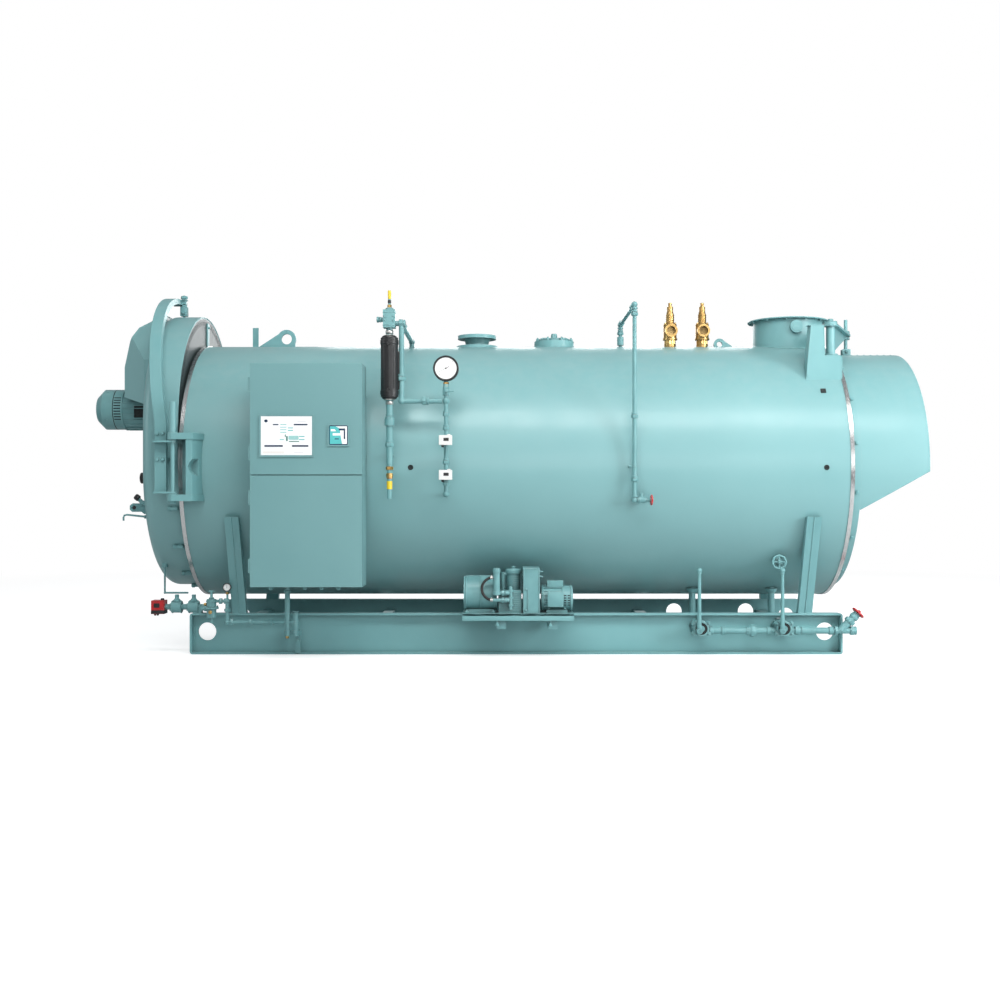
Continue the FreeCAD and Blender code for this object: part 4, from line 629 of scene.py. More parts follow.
def addBolt(bm, across, point, direction, stud=0.0, spin=0.0, materialIndex=0):
    # washer, hex and the rounded end of the stud
    point = Vector(point)
    along = Vector(direction).normalized()
    washer = across * 0.62
    addTurned(bm, [(0, 0), (washer, 0), (washer, across * 0.1), (0, across * 0.1)], placeAt(point, along), 16,
        materialIndex)
    addHex(bm, across, across * 0.6, point + along * across * 0.1, along, spin, materialIndex)
    if stud:
        wide = across * 0.3
        addTurned(bm, [(wide, 0), (wide, stud - wide * 0.4), (wide * 0.7, stud), (0, stud)], placeAt(point, along),
            12, materialIndex)


def addRing(bm, middle, radius, wire, direction, steps=36, thick=10, materialIndex=0):
    place = placeAt(middle, direction)
    path = [place @ Vector((radius * cos(2 * pi * i / steps), radius * sin(2 * pi * i / steps),
        0)) for i in range(steps)]
    addTube(bm, path, wire, thick, True, materialIndex)


def addHandwheel(bm, middle, radius, wire, direction, spokes=5, materialIndex=0):
    # lobed rim, hub, spokes dished towards the stem, and the nut on top
    place = placeAt(middle, direction)
    rim = []
    for i in range(60):
        turn = 2 * pi * i / 60
        reach = radius - wire + wire * 0.22 * cos(turn * spokes * 2)
        rim.append(place @ Vector((reach * cos(turn), reach * sin(turn), 0)))
    addTube(bm, rim, wire, 10, True, materialIndex)
    addTurned(bm, [(0, -wire * 1.4), (radius * 0.26, -wire * 1.4), (radius * 0.26, wire * 0.7), (radius * 0.2, wire),
        (0, wire)], place, 20, materialIndex)
    for spoke in range(spokes):
        turn = 2 * pi * spoke / spokes
        way = Vector((cos(turn), sin(turn), 0))
        path = [place @ (way * reach + Vector((0, 0, drop))) for reach,
            drop in ((radius * 0.2, -wire * 0.6), (radius * 0.55, -wire * 0.8), (radius - wire, 0))]
        addTube(bm, path, [wire * 0.75, wire * 0.6, wire * 0.7], 8, False, materialIndex)
    addHex(bm, radius * 0.3, wire * 1.3, place @ Vector((0, 0, wire)), direction, 0, materialIndex)


def makePiece(name, bm, finishes, body="boiler", sharp=32):
    # the joined mesh becomes one object that rides on its body
    finishes = [finishes] if isinstance(finishes, str) else finishes
    bmesh.ops.recalc_face_normals(bm, faces=bm.faces)
    mesh = bpy.data.meshes.new(name)
    bm.to_mesh(mesh)
    bm.free()
    mesh.polygons.foreach_set("use_smooth", [True] * len(mesh.polygons))
    mesh.set_sharp_from_angle(angle=radians(sharp))
    for finish in finishes:
        mesh.materials.append(materials[finish])
    piece = bpy.data.objects.new(name, mesh)
    scene.collection.objects.link(piece)
    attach(piece, body)
    return piece


def roundedBox(width, height, corner, cuts=5):
    outline = []
    for sideX, sideY, start in ((1, 1, 0), (-1, 1, 90), (-1, -1, 180), (1, -1, 270)):
        for step in range(cuts + 1):
            turn = radians(start + 90 * step / cuts)
            outline.append((sideX * (width / 2 - corner) + corner * cos(turn),
                sideY * (height / 2 - corner) + corner * sin(turn)))
    return outline


def newMeshes(count):
    return [bmesh.new() for index in range(count)]


def boxOf(node):
    return [Vector(corner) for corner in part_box(node)]


def middleOf(node):
    low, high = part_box(node)
    return (Vector(low) + Vector(high)) / 2


shellLow, shellHigh = boxOf("shell_jacket")
axisZ = (shellLow.z + shellHigh.z) / 2
shellRadius = (shellHigh.z - shellLow.z) / 2
up = (0, 0, 1)
alongX = (1, 0, 0)
toViewer = (0, -1, 0)


def onShell(x, zRel, side=-1, out=0.0):
    # a point on the jacket at a height from its axis, and the way out of the jacket there
    y = side * sqrt(shellRadius ** 2 - zRel ** 2)
    outward = Vector((0, y, zRel)) / shellRadius
    return Vector((x, 0, axisZ)) + outward * (shellRadius + out), outward


# shell: plugs, lap seams with screws, weld toes round the nozzles
shellTrim = {
    "roundPlugs": ((2.046, 0.0), (-0.7, 0.0)),
    "squarePlug": (2.066, 0.519),
    "plugRadius": 0.018,
    "seamHeight": 0.3,
    "seamWidth": 0.045,
    "screwPitch": 0.186,
}


def makeShellTrim():
    dark = bmesh.new()
    # the plugs are painted shade, dark as the openings they stand for
    for x, zRel in shellTrim["roundPlugs"]:
        point, outward = onShell(x, zRel, out=-0.004)
        radius = shellTrim["plugRadius"]
        turnAt(dark, [(0, 0.004), (radius * 0.5, 0.004), (radius * 0.55, 0.008), (radius * 0.9, 0.009),
            (radius, 0.006), (radius, 0)], point, outward, 24)
    point, outward = onShell(*shellTrim["squarePlug"], out=-0.002)
    addBlock(dark, (0.036, 0.036, 0.016), placeAt(point, outward), 0.003)
    makePiece("shellPlugs", dark, "darkHollow")

    bm = bmesh.new()
    low, high = shellLow.x + 0.05, shellHigh.x - 0.05
    height = shellTrim["seamHeight"]
    half = shellTrim["seamWidth"] / shellRadius / 2
    base = asin(height / shellRadius)
    # the lap seam runs along the far side
    outline = [(shellRadius + lift, base + turn) for lift, turn in ((-0.002, -half), (0.0022, -half * 0.9),
        (0.0022, half * 0.9), (-0.002, half))]
    ends = [[bm.verts.new((x, reach * cos(turn), axisZ + reach * sin(turn))) for reach,
        turn in outline] for x in (low, high)]
    for index in range(len(outline)):
        after = (index + 1) % len(outline)
        bm.faces.new((ends[0][index], ends[0][after], ends[1][after], ends[1][index]))
    bm.faces.new(ends[0][::-1])
    bm.faces.new(ends[1])
    count = int((high - low) / shellTrim["screwPitch"])
    for index in range(count):
        x = low + 0.06 + index * (high - low - 0.12) / (count - 1)
        point, outward = onShell(x, height, 1, 0.002)
        addCap(bm, 0.0075, 0.005, (0.0015, 0.004, 0.0045), point, outward, 12)
    makePiece("shellSeam", bm, "tealShell")

    # the weld toe follows the meeting line of each upright tube and the jacket
    welds = bmesh.new()
    for node, radius in (("stack_outlet", 0.2505), ("steam_nozzle", 0.1505), ("manway", 0.1455)):
        centre = middleOf(node).x
        path = []
        for step in range(72):
            turn = 2 * pi * step / 72
            x, y = radius * cos(turn), radius * sin(turn)
            path.append((centre + x, y, axisZ + sqrt(shellRadius ** 2 - y * y) + 0.001))
        addTube(welds, path, [0.006 + 0.0014 * sin(step * 2.7) for step in range(72)], 8, True)
    for x, reach in ((-1.672, 0.23), (1.497, 0.13)):
        for side in (-0.0135, 0.0135):
            addTube(welds, [(x - reach + step * reach / 6, side, axisZ + shellRadius + 0.001) for step in range(13)],
                0.006, 8)
    makePiece("shellWelds", welds, "tealPlate")


makeShellTrim()
print("shell trim made")


# top of the shell: steam flange face, manway studs, relief valve parts, stack parts
def makeSteamFlange():
    middle = middleOf("steam_nozzle")
    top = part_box("steam_nozzle")[1][2]
    bm = bmesh.new()
    place = placeAt((middle.x, middle.y, top - 0.0008))
    # spiral facing on the flange and a dust plug held below the face
    for ring in range(7):
        radius = 0.083 + ring * 0.0042
        addRing(bm, (middle.x, middle.y, top - 0.0006), radius, 0.0006, up, 48, 6)
    addTurned(bm, [(0, -0.03), (0.0765, -0.03), (0.0765, -0.02), (0.06, -0.016), (0, -0.016)], place, 32)
    neck = top - 0.0254
    turnAt(bm, [(0.084, 0.0), (0.0945, 0.0), (0.0885, -0.018), (0.0845, -0.034), (0.084, -0.034)],
        (middle.x, middle.y, neck), up, 40)
    makePiece("steamFlangeFace", bm, "tealFitting")


makeSteamFlange()


manwayTrim = {"studs": 8, "studCircle": 0.131, "across": 0.024}


def makeManwayTrim():
    middle = middleOf("manway")
    bm = bmesh.new()
    base = axisZ + 0.94
    for index in range(manwayTrim["studs"]):
        turn = 2 * pi * (index + 0.5) / manwayTrim["studs"]
        point = (middle.x + manwayTrim["studCircle"] * cos(turn), middle.y + manwayTrim["studCircle"] * sin(turn),
            base)
        addBolt(bm, manwayTrim["across"], point, up, 0.026, turn)
    addHex(bm, 0.04, 0.022, (middle.x, middle.y, axisZ + 0.972), up)
    addRing(bm, (middle.x, middle.y, axisZ + 0.952), 0.118, 0.004, up, 48, 8)
    makePiece("manwayStuds", bm, "tealFitting")


makeManwayTrim()


def makeReliefTrim(name, node):
    middle = middleOf(node)
    low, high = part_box(node)
    x, y = middle.x, 0.0
    bm = bmesh.new()
    # inlet hex, bonnet joint with bolts, ribbed spring case, cap and its seal wire
    addHex(bm, 0.078, 0.026, (x, y, axisZ + 0.926), up, 0.3)
    turnAt(bm, [(0.044, 0), (0.053, 0), (0.053, 0.012), (0.044, 0.012)], (x, y, axisZ + 0.956), up, 32)
    turnAt(bm, [(0.03, 0), (0.047, 0), (0.049, 0.003), (0.049, 0.011), (0.047, 0.014), (0.03, 0.014)],
        (x, y, axisZ + 1.058), up, 32)
    for index in range(6):
        turn = 2 * pi * (index + 0.5) / 6
        addBolt(bm, 0.011, (x + 0.041 * cos(turn), y + 0.041 * sin(turn), axisZ + 1.072), up, 0.012)
    for index in range(5):
        addRing(bm, (x, y, axisZ + 1.084 + index * 0.013), 0.0285, 0.0028, up, 28, 8)
    addHex(bm, 0.044, 0.016, (x, y, axisZ + 1.146), up)
    turnAt(bm, [(0.013, 0), (0.0185, 0.002), (0.0185, 0.014), (0.013, 0.018)], (x, y, axisZ + 1.184), up, 20)
    turnAt(bm, [(0, 0), (0.0105, 0), (0.0125, 0.008), (0.009, 0.016), (0, 0.0185)], (x, y, high[2] - 0.019), up, 18)
    # discharge flange facing the viewer
    turnAt(bm, [(0.033, 0), (0.0465, 0), (0.0465, 0.01), (0.033, 0.01)], (x, low[1] + 0.011, axisZ + 1.018), toViewer,
        32)
    makePiece(name, bm, "castBrass")
    # lifting lever on its fork
    bm = bmesh.new()
    addBlock(bm, (0.006, 0.026, 0.04), placeAt((x - 0.012, 0.018, axisZ + 1.19)), 0.0015)
    addBlock(bm, (0.006, 0.026, 0.04), placeAt((x + 0.012, 0.018, axisZ + 1.19)), 0.0015)
    addTube(bm, [(x, 0.034, axisZ + 1.205), (x, 0.046, axisZ + 1.18), (x, 0.05, axisZ + 1.13),
        (x, 0.047, axisZ + 1.096)], [0.0035, 0.004, 0.004, 0.005], 10)
    makePiece(name + "Lever", bm, "zincSteel")


makeReliefTrim("reliefTrimFront", "safety_valve_front")
makeReliefTrim("reliefTrimRear", "safety_valve_rear")


stackTrim = {"radius": 0.25, "seamTurn": -101, "rimBolts": 12}


def makeStackTrim():
    x = 1.997
    low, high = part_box("stack_outlet")
    bm = bmesh.new()
    # upright lap seam, capped sampling port, rolled rim
    radius = stackTrim["radius"]
    start = radians(stackTrim["seamTurn"])
    path = [start + step * 0.03 for step in range(-3, 4)]
    bottom, top = axisZ + 0.872, high[2] - 0.01
    inner = [(x + (radius - 0.002) * cos(turn), (radius - 0.002) * sin(turn)) for turn in path]
    outer = [(x + (radius + 0.004) * cos(turn), (radius + 0.004) * sin(turn)) for turn in path]
    addPlate(bm, inner + outer[::-1], top - bottom, placeAt((0, 0, bottom)))
    addRing(bm, (x, 0, high[2] - 0.004), 0.2845, 0.0042, up, 72, 8)
    addRing(bm, (x, 0, high[2] - 0.012), 0.2535, 0.004, up, 72, 8)
    port = (x, low[1], axisZ + 1.02)
    turnAt(bm, [(0, 0.003), (0.034, 0.003), (0.036, 0.0), (0.044, 0.0), (0.046, -0.003), (0.046, -0.018),
        (0.043, -0.02)], (x, low[1] + 0.003, port[2]), toViewer, 36)
    addBlock(bm, (0.03, 0.005, 0.006), placeAt((x, low[1] + 0.0015, port[2])), 0.0012)
    for index in range(stackTrim["rimBolts"]):
        turn = 2 * pi * (index + 0.5) / stackTrim["rimBolts"]
        addBolt(bm, 0.014, (x + 0.27 * cos(turn), 0.27 * sin(turn), high[2] - 0.0085), (0, 0, -1), 0.012)
    makePiece("stackTrim", bm, "tealPlate")
    # soot and painted shade inside the stack
    sootAndShade = bmesh.new()
    turnAt(sootAndShade, [(0.2435, 0.0), (0.2428, 0.0), (0.2428, 0.205), (0.2435, 0.205)], (x, 0, axisZ + 0.88), up, 64)
    makePiece("stackSootAndShade", sootAndShade, "darkHollow")


makeStackTrim()
print("top fittings made")


# control cabinet: screen, side tile, latches, lifting eyes and cable glands
cabinetTrim = {
    "screenBorder": 0.026,
    "tileCorner": 0.01,
    "eyeInset": 0.09,
    "glands": 5,
}


def makeScreen():
    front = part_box("cabinet_upper_door")[0][1]
    screenLow, screenHigh = (-1.651, 1.326), (-1.299, 1.6)
    wide, tall = screenHigh[0] - screenLow[0], screenHigh[1] - screenLow[1]
    centre = ((screenLow[0] + screenHigh[0]) / 2, (screenLow[1] + screenHigh[1]) / 2)
    bm = bmesh.new()
    flat = placeAt((centre[0], front + 0.0026, centre[1]), toViewer)
    # local X of this plane points to the right and local Y up
    across = flat.to_3x3() @ Vector(alongX)
    sign = 1 if across.x > 0 else -1

    def tile(x, y, width, height, finish, lift=0.0004, corner=0.0):
        outline = roundedBox(width, height, corner, 4) if corner else [
            (-width / 2, -height / 2), (width / 2, -height / 2), (width / 2, height / 2), (-width / 2, height / 2)]
        addPlate(bm, [(sign * (x + px), y + py) for px, py in outline], lift, flat, finish)

    border = cabinetTrim["screenBorder"]
    tile(0, 0, wide - border, tall - border, 0, 0.0004)
    spanX, spanY = wide - border, tall - border
    # a made-up mimic page: a drum with feeds, bars of readings, and key strips
    bars = [(-0.4, 0.38, 0.07, 0.075, 1, 0.01), (-0.21, 0.285, 0.11, 0.03, 1, 0), (0.28, 0.285, 0.27, 0.036, 1, 0),
        (-0.25, -0.265, 0.36, 0.044, 1, 0), (0.27, -0.265, 0.32, 0.044, 1, 0)]
    bars += [(-0.06, 0.285 - row * 0.066, 0.12, 0.016, 2, 0) for row in range(4)]
    bars += [(0.08, 0.2 - row * 0.066, 0.1, 0.022, 2, 0) for row in range(2)]
    bars += [(-0.09, -0.1, 0.08, 0.02, 2, 0), (0.3, -0.02, 0.11, 0.022, 2, 0), (0.3, -0.1, 0.11, 0.022, 2, 0)]
    bars += [(0.14, -0.055, 0.2, 0.105, 3, 0.006), (0.01, -0.075, 0.035, 0.13, 4, 0.004),
        (0.15, -0.15, 0.2, 0.024, 4, 0), (-0.02, 0.0, 0.022, 0.06, 4, 0)]
    bars += [(0.3, 0.375, 0.17, 0.012, 5, 0), (0.24, -0.43, 0.18, 0.01, 5, 0), (-0.25, -0.43, 0.42, 0.052, 6, 0)]
    for x, y, width, height, finish, corner in bars:
        tile(x * spanX, y * spanY, width * spanX, height * spanY, finish, 0.0008, corner)
    makePiece("screenPage", bm, ["displayWhite", "displayNavy", "displayTeal", "displayDrum", "displayGreen",
        "displayGrey", "displayPale"], "cabinet_upper_door")

    bm = bmesh.new()
    bezel = roundedBox(wide - 0.003, tall - 0.003, 0.006)
    inside = roundedBox(wide - border + 0.006, tall - border + 0.006, 0.003)
    for outline, depth in ((bezel, -0.0012), (inside, -0.0006)):
        path = [flat @ Vector((x, y, depth)) for x, y in outline]
        addTube(bm, path, 0.0022, 8, True)
    for x in (-1, 1):
        for y in (-1, 1):
            addTurned(bm, [(0.0042, 0), (0.0042, 0.001), (0.003, 0.0022), (0, 0.0024)],
                flat @ Matrix.Translation((x * (wide / 2 - 0.005), y * (tall / 2 - 0.005), 0.0)), 12)
    makePiece("screenBezel", bm, "tealCabinet", "cabinet_upper_door")


def makeSideTile():
    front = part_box("cabinet_upper_door")[0][1]
    low, high = (-1.212, 1.395), (-1.073, 1.538)
    wide, tall = high[0] - low[0] - 0.018, high[1] - low[1] - 0.018
    flat = placeAt(((low[0] + high[0]) / 2, front + 0.0026, (low[1] + high[1]) / 2), toViewer)
    sign = 1 if (flat.to_3x3() @ Vector(alongX)).x > 0 else -1
    bm = bmesh.new()

    def leaf(outline, finish, lift):
        addPlate(bm, [(sign * x * wide, y * tall) for x, y in outline], lift, flat, finish)

    leaf([(x / wide, y / tall) for x, y in roundedBox(wide, tall, cabinetTrim["tileCorner"])], 1, 0.0006)
    leaf([(-0.45, -0.45), (0.45, -0.45), (0.45, 0.45), (-0.45, 0.45)], 0, 0.001)
    # a curved field at the left, two bars on it, and a bracket at the right
    field = [(-0.45, -0.45), (0.2, -0.45)]
    field += [(0.2 - 0.36 * sin(step * pi / 16) * 0.35, -0.45 + 0.9 * step / 8) for step in range(1, 8)]
    field += [(-0.15, 0.45), (-0.45, 0.45)]
    leaf(field, 2, 0.0013)
    leaf([(-0.3, -0.02), (0.1, -0.02), (0.1, 0.1), (-0.3, 0.1)], 0, 0.0016)
    leaf([(-0.4, 0.2), (-0.12, 0.2), (-0.2, 0.3), (-0.4, 0.3)], 0, 0.0016)
    leaf([(-0.2, -0.22), (0.02, -0.22), (0.02, -0.17), (-0.2, -0.17)], 1, 0.0016)
    leaf([(0.02, 0.34), (0.36, 0.34), (0.36, -0.2), (0.28, -0.2), (0.28, 0.24), (0.02, 0.24)], 1, 0.0016)
    makePiece("sideTile", bm, ["displayWhite", "displayNavy", "displayTeal"], "cabinet_upper_door")


def makeCabinetTrim():
    low, high = boxOf("control_cabinet")
    bm = bmesh.new()
    inset = cabinetTrim["eyeInset"]
    for x in (low.x + inset, high.x - inset):
        addCap(bm, 0.016, 0.01, (0.004, 0.007, 0.007), (x, -1.03, 1.9265), up, 20)
    for index in range(cabinetTrim["glands"]):
        x = -1.6 + index * 0.11
        place = placeAt((x, -1.02, 0.4955), (0, 0, -1))
        addTurned(bm, [(0.02, 0), (0.02, 0.004), (0.014, 0.006), (0.014, 0.022), (0.01, 0.028), (0, 0.028)], place,
            20)
        addHex(bm, 0.034, 0.008, (x, -1.02, 0.49), (0, 0, -1))
    makePiece("cabinetGlands", bm, "tealFitting")
    for door in ("cabinet_upper_door", "cabinet_lower_door"):
        doorLow, doorHigh = boxOf(door)
        bm = bmesh.new()
        # quarter-turn latches in the door's closing edge, and a folded lip round the door
        for share in (0.2, 0.8):
            point = (doorHigh.x - 0.0004, (doorLow.y + doorHigh.y) / 2 + 0.001,
                doorLow.z + share * (doorHigh.z - doorLow.z))
            turnAt(bm, [(0, 0.0), (0.0075, 0.0), (0.0085, -0.001), (0.0085, -0.003)], point, alongX, 20)
        centre = (doorLow + doorHigh) / 2
        path = [(centre.x + x, doorLow.y + 0.0095 if door == "cabinet_upper_door" else doorLow.y + 0.0025,
            centre.z + z) for x, z in roundedBox(doorHigh.x - doorLow.x - 0.0045, doorHigh.z - doorLow.z - 0.0045,
            0.003)]
        addTube(bm, path, 0.0021, 8, True)
        makePiece(door.replace("cabinet_", "latches_"), bm, "tealCabinet", door)


makeScreen()
makeSideTile()
makeCabinetTrim()
print("cabinet made")


# water column: level sensor, its probe, sight parts and the drain below
columnTrim = {
    "sensorRadius": 0.057,
}


def makeColumnTrim():
    low, high = boxOf("level_sensor")
    x, y = (low.x + high.x) / 2, (low.y + high.y) / 2
    radius = columnTrim["sensorRadius"]
    bm = bmesh.new()
    # stepped caps, four long ribs, two recessed screws at the front, side junction shell
    for base, way in ((low.z, 1), (high.z, -1)):
        turnAt(bm, [(radius + 0.0005, 0.014 * way), (radius + 0.003, 0.016 * way), (radius + 0.003, 0.04 * way),
            (radius + 0.0005, 0.043 * way)], (x, y, base), up, 40)
        turnAt(bm, [(radius * 0.72, -0.014 * way), (radius * 0.8, -0.012 * way), (radius * 0.93, 0.0),
            (radius * 0.93, 0.004 * way)], (x, y, base), up, 40)
    for turn in (-35, 0, 35, 180):
        way = Vector((sin(radians(turn)), -cos(radians(turn)), 0))
        addBlock(bm, (0.007, 0.005, high.z - low.z - 0.1), tilted(Vector((x, y,
            (low.z + high.z) / 2)) + way * (radius + 0.0005), radians(turn), "Z"), 0.0015)
    addBlock(bm, (0.02, 0.05, 0.25), placeAt((x + radius + 0.006, y + 0.012, (low.z + high.z) / 2 - 0.02)), 0.005)
    for height in (low.z + 0.04, high.z - 0.04):
        turnAt(bm, [(0, 0.001), (0.006, 0.001), (0.0075, 0.004), (0.0125, 0.004), (0.014, 0.001), (0.014, -0.004)],
            (x, y - radius - 0.001, height), toViewer, 24)
    makePiece("sensorTrim", bm, "blackPlastic")

    # zinc and brass unions above and below the sensor
    bm = bmesh.new()
    for height, step in ((high.z + 0.004, 1), (low.z - 0.004, -1)):
        addHex(bm, 0.064, 0.016, (x, y, height if step > 0 else height - 0.016), up)
        addCollar(bm, 0.0235, 0.026, 0.018, 0.004, (x, y, height + (0.022 if step > 0 else -0.046)), up, 28)
    makePiece("sensorUnions", bm, "zincSteel")

    headLow, headHigh = axisZ + 0.905, axisZ + 1.022
    bm = bmesh.new()
    addBlock(bm, (0.083, 0.083, 0.006), placeAt((x, y, headHigh - 0.018)), 0.002)
    addBlock(bm, (0.083, 0.083, 0.006), placeAt((x, y, headLow + 0.014)), 0.002)
    turnAt(bm, [(0.01, 0), (0.027, 0), (0.027, 0.01), (0.018, 0.016), (0.01, 0.016)], (x, y, headHigh), up, 6)
    for side in (-1, 1):
        for height in (headLow + 0.045, headHigh - 0.045):
            addBolt(bm, 0.009, (x + side * 0.028, y - 0.0395, height), toViewer)
    addCollar(bm, 0.0155, 0.019, 0.012, 0.002, (x - 0.052, y, headLow + 0.055), (-1, 0, 0), 6)
    turnAt(bm, [(0.0155, 0), (0.019, 0.002), (0.019, 0.016), (0.012, 0.018), (0, 0.018)],
        (x - 0.066, y, headLow + 0.055), (-1, 0, 0), 20)
    # union nuts on the two tie pipes
    for centre, way in (((x + 0.06, y, headLow + 0.03), alongX), ((-0.752, y, axisZ + 0.56), up),
            ((-0.752, y + 0.1, headLow + 0.03), (0, 1, 0)), ((-0.62, y, axisZ + 0.43), alongX),
            ((x, y, axisZ + 0.3), up), ((x, y, axisZ + 0.13), up)):
        turnAt(bm, [(0.017, 0), (0.027, 0.002), (0.029, 0.006), (0.029, 0.024), (0.027, 0.028), (0.017, 0.03)],
            centre, way, 6)
        turnAt(bm, [(0.017, 0.03), (0.0245, 0.031), (0.0245, 0.044), (0.017, 0.046)], centre, way, 24)
    makePiece("columnFittings", bm, "tealFitting")

    bm = bmesh.new()
    probe = axisZ + 1.022
    turnAt(bm, [(0.0095, 0.014), (0.014, 0.016), (0.014, 0.034), (0.0095, 0.036)], (x, y, probe), up, 6)
    drainTop = axisZ - 0.02
    addCollar(bm, 0.0175, 0.025, 0.022, 0.002, (x, y, drainTop), up, 6)
    addCollar(bm, 0.0175, 0.022, 0.03, 0.002, (x, y, drainTop - 0.052), up, 24)
    makePiece("columnBrass", bm, "castBrass")
    bm = bmesh.new()
    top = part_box("column_head")[1][2]
    turnAt(bm, [(0.0092, 0), (0.0105, 0.001), (0.0105, 0.052), (0.0088, 0.0558), (0, 0.0559)], (x, y, top - 0.056),
        up, 24)
    addCollar(bm, 0.0172, 0.0186, 0.052, 0.001, (x, y, axisZ - 0.145), up, 28)
    makePiece("columnYellow", bm, "yellowEnamel")
    bm = bmesh.new()
    addCollar(bm, 0.0092, 0.0112, 0.02, 0.001, (x, y, top - 0.084), up, 20)
    makePiece("probeCollar", bm, "blackPlastic")
    bm = bmesh.new()
    addCollar(bm, 0.0172, 0.0182, 0.03, 0.001, (x, y, axisZ - 0.078), up, 28)
    makePiece("drainCopper", bm, "copperTube")


makeColumnTrim()


# pressure gauge: bezel, dial with its scale, needle; then the two pressure switches on the stem
gaugeTrim = {
    "dialRadius": 0.07,
    "scaleStart": 225,
    "scaleSweep": 270,
    "ticks": 30,
    "needleTurn": 28,
}


def makeGaugeTrim():
    low, high = boxOf("pressure_gauge")
    x, face = (low.x + high.x) / 2, low.y
    z = axisZ + 0.641
    radius = (high.x - low.x) / 2
    flat = placeAt((x, face, z), toViewer)
    sign = 1 if (flat.to_3x3() @ Vector(alongX)).x > 0 else -1
    bm = bmesh.new()
    addTurned(bm, [(gaugeTrim["dialRadius"], 0.0006), (gaugeTrim["dialRadius"] + 0.001, 0.004),
        (radius - 0.004, 0.0055), (radius + 0.0015, 0.001), (radius + 0.0015, -0.012), (radius - 0.001, -0.014)],
        flat, 64)
    addTurned(bm, [(radius - 0.002, -0.04), (radius + 0.001, -0.041), (radius + 0.001, -0.0475),
        (radius - 0.006, -0.0485)], flat, 64)
    makePiece("gaugeBezel", bm, "blackPlastic")

    bm = bmesh.new()
    addTurned(bm, [(0, 0.0008), (gaugeTrim["dialRadius"] + 0.0006, 0.0008),
        (gaugeTrim["dialRadius"] + 0.0006, 0.0003)], flat, 64, 0)

    def mark(turn, inner, outer, width):
        way = Vector((cos(turn) * sign, sin(turn), 0))
        wide = Vector((-way.y, way.x, 0)) * width / 2
        corners = [way * inner - wide, way * outer - wide, way * outer + wide, way * inner + wide]
        addPlate(bm, [(corner.x, corner.y) for corner in corners], 0.0004, flat @ Matrix.Translation((0, 0, 0.0009)),
            1)

    for tick in range(gaugeTrim["ticks"] + 1):
        turn = radians(gaugeTrim["scaleStart"] - gaugeTrim["scaleSweep"] * tick / gaugeTrim["ticks"])
        long = tick % 5 == 0
        mark(turn, 0.054 if long else 0.058, 0.064, 0.0016 if long else 0.0008)
    needle = radians(gaugeTrim["needleTurn"])
    mark(needle, -0.052, 0.0, 0.0016)
    mark(needle, 0.0, 0.024, 0.0042)
    addTurned(bm, [(0, 0.003), (0.0045, 0.003), (0.0055, 0.0012), (0.0055, 0.0008)], flat, 24, 1)
    makePiece("gaugeDial", bm, ["dialWhite", "blackPlastic"])

    bm = bmesh.new()
    addHex(bm, 0.032, 0.02, (x, -1.0, z - radius - 0.026), up)
    addCollar(bm, 0.0138, 0.0165, 0.022, 0.002, (x, -1.0, z - radius - 0.052), up, 24)
    makePiece("gaugeNeck", bm, "castBrass")

    # cock, unions and tee bands down the gauge line
    bm = bmesh.new()
    for height in (0.505, 0.33, 0.24, 0.02, -0.12):
        turnAt(bm, [(0.0138, 0), (0.0205, 0.0015), (0.0215, 0.004), (0.0215, 0.018), (0.0205, 0.0205),
            (0.0138, 0.022)], (x, -1.0, axisZ + height), up, 6)
        turnAt(bm, [(0.0138, 0.022), (0.0185, 0.023), (0.0185, 0.034), (0.0138, 0.035)], (x, -1.0, axisZ + height),
            up, 24)
    addTube(bm, [(x, -1.02, axisZ + 0.486), (x, -1.034, axisZ + 0.486), (x + 0.02, -1.038, axisZ + 0.487),
        (x + 0.052, -1.038, axisZ + 0.492)], [0.006, 0.005, 0.004, 0.005], 10)
    for height in (0.172, -0.053):
        turnAt(bm, [(0.0138, 0), (0.0205, 0.0), (0.0205, 0.012), (0.0138, 0.012)], (x, -1.0, axisZ + height - 0.006),
            up, 24)
    makePiece("gaugeFittings", bm, "tealFitting")

    front = boxOf("switch_boxes")[0].y
    bm, dark = newMeshes(2)
    for height in (0.172, -0.053):
        centre = Vector((x, front, axisZ + height))
        # cover with a lip and two screws, an adjusting cap on top and a cable gland
        path = [centre + Vector((px, 0.01, pz)) for px, pz in roundedBox(0.0835, 0.0615, 0.004)]
        addTube(bm, path, 0.0016, 8, True)
        for side in (-1, 1):
            addCap(bm, 0.0036, 0.0026, (0.0002, 0.0008, 0.001), centre + Vector((side * 0.034, 0.0006, -0.022)),
                toViewer, 12)
        addCap(bm, 0.011, 0.008, (0.006, 0.009, 0.009), centre + Vector((0.02, 0.03, 0.03)), up, 18)
        addPlate(dark, roundedBox(0.034, 0.02, 0.002), 0.0008, placeAt(centre + Vector((0.004, 0.0002, 0.004)),
            toViewer))
        addCap(dark, 0.0085, 0.006, (0.012, 0.016, 0.016), centre + Vector((-0.02, 0.03, -0.03)), (0, 0, -1), 18)
    makePiece("switchCovers", bm, "switchWhite")
    makePiece("switchWindows", dark, "blackPlastic")


makeGaugeTrim()
print("column and gauge made")


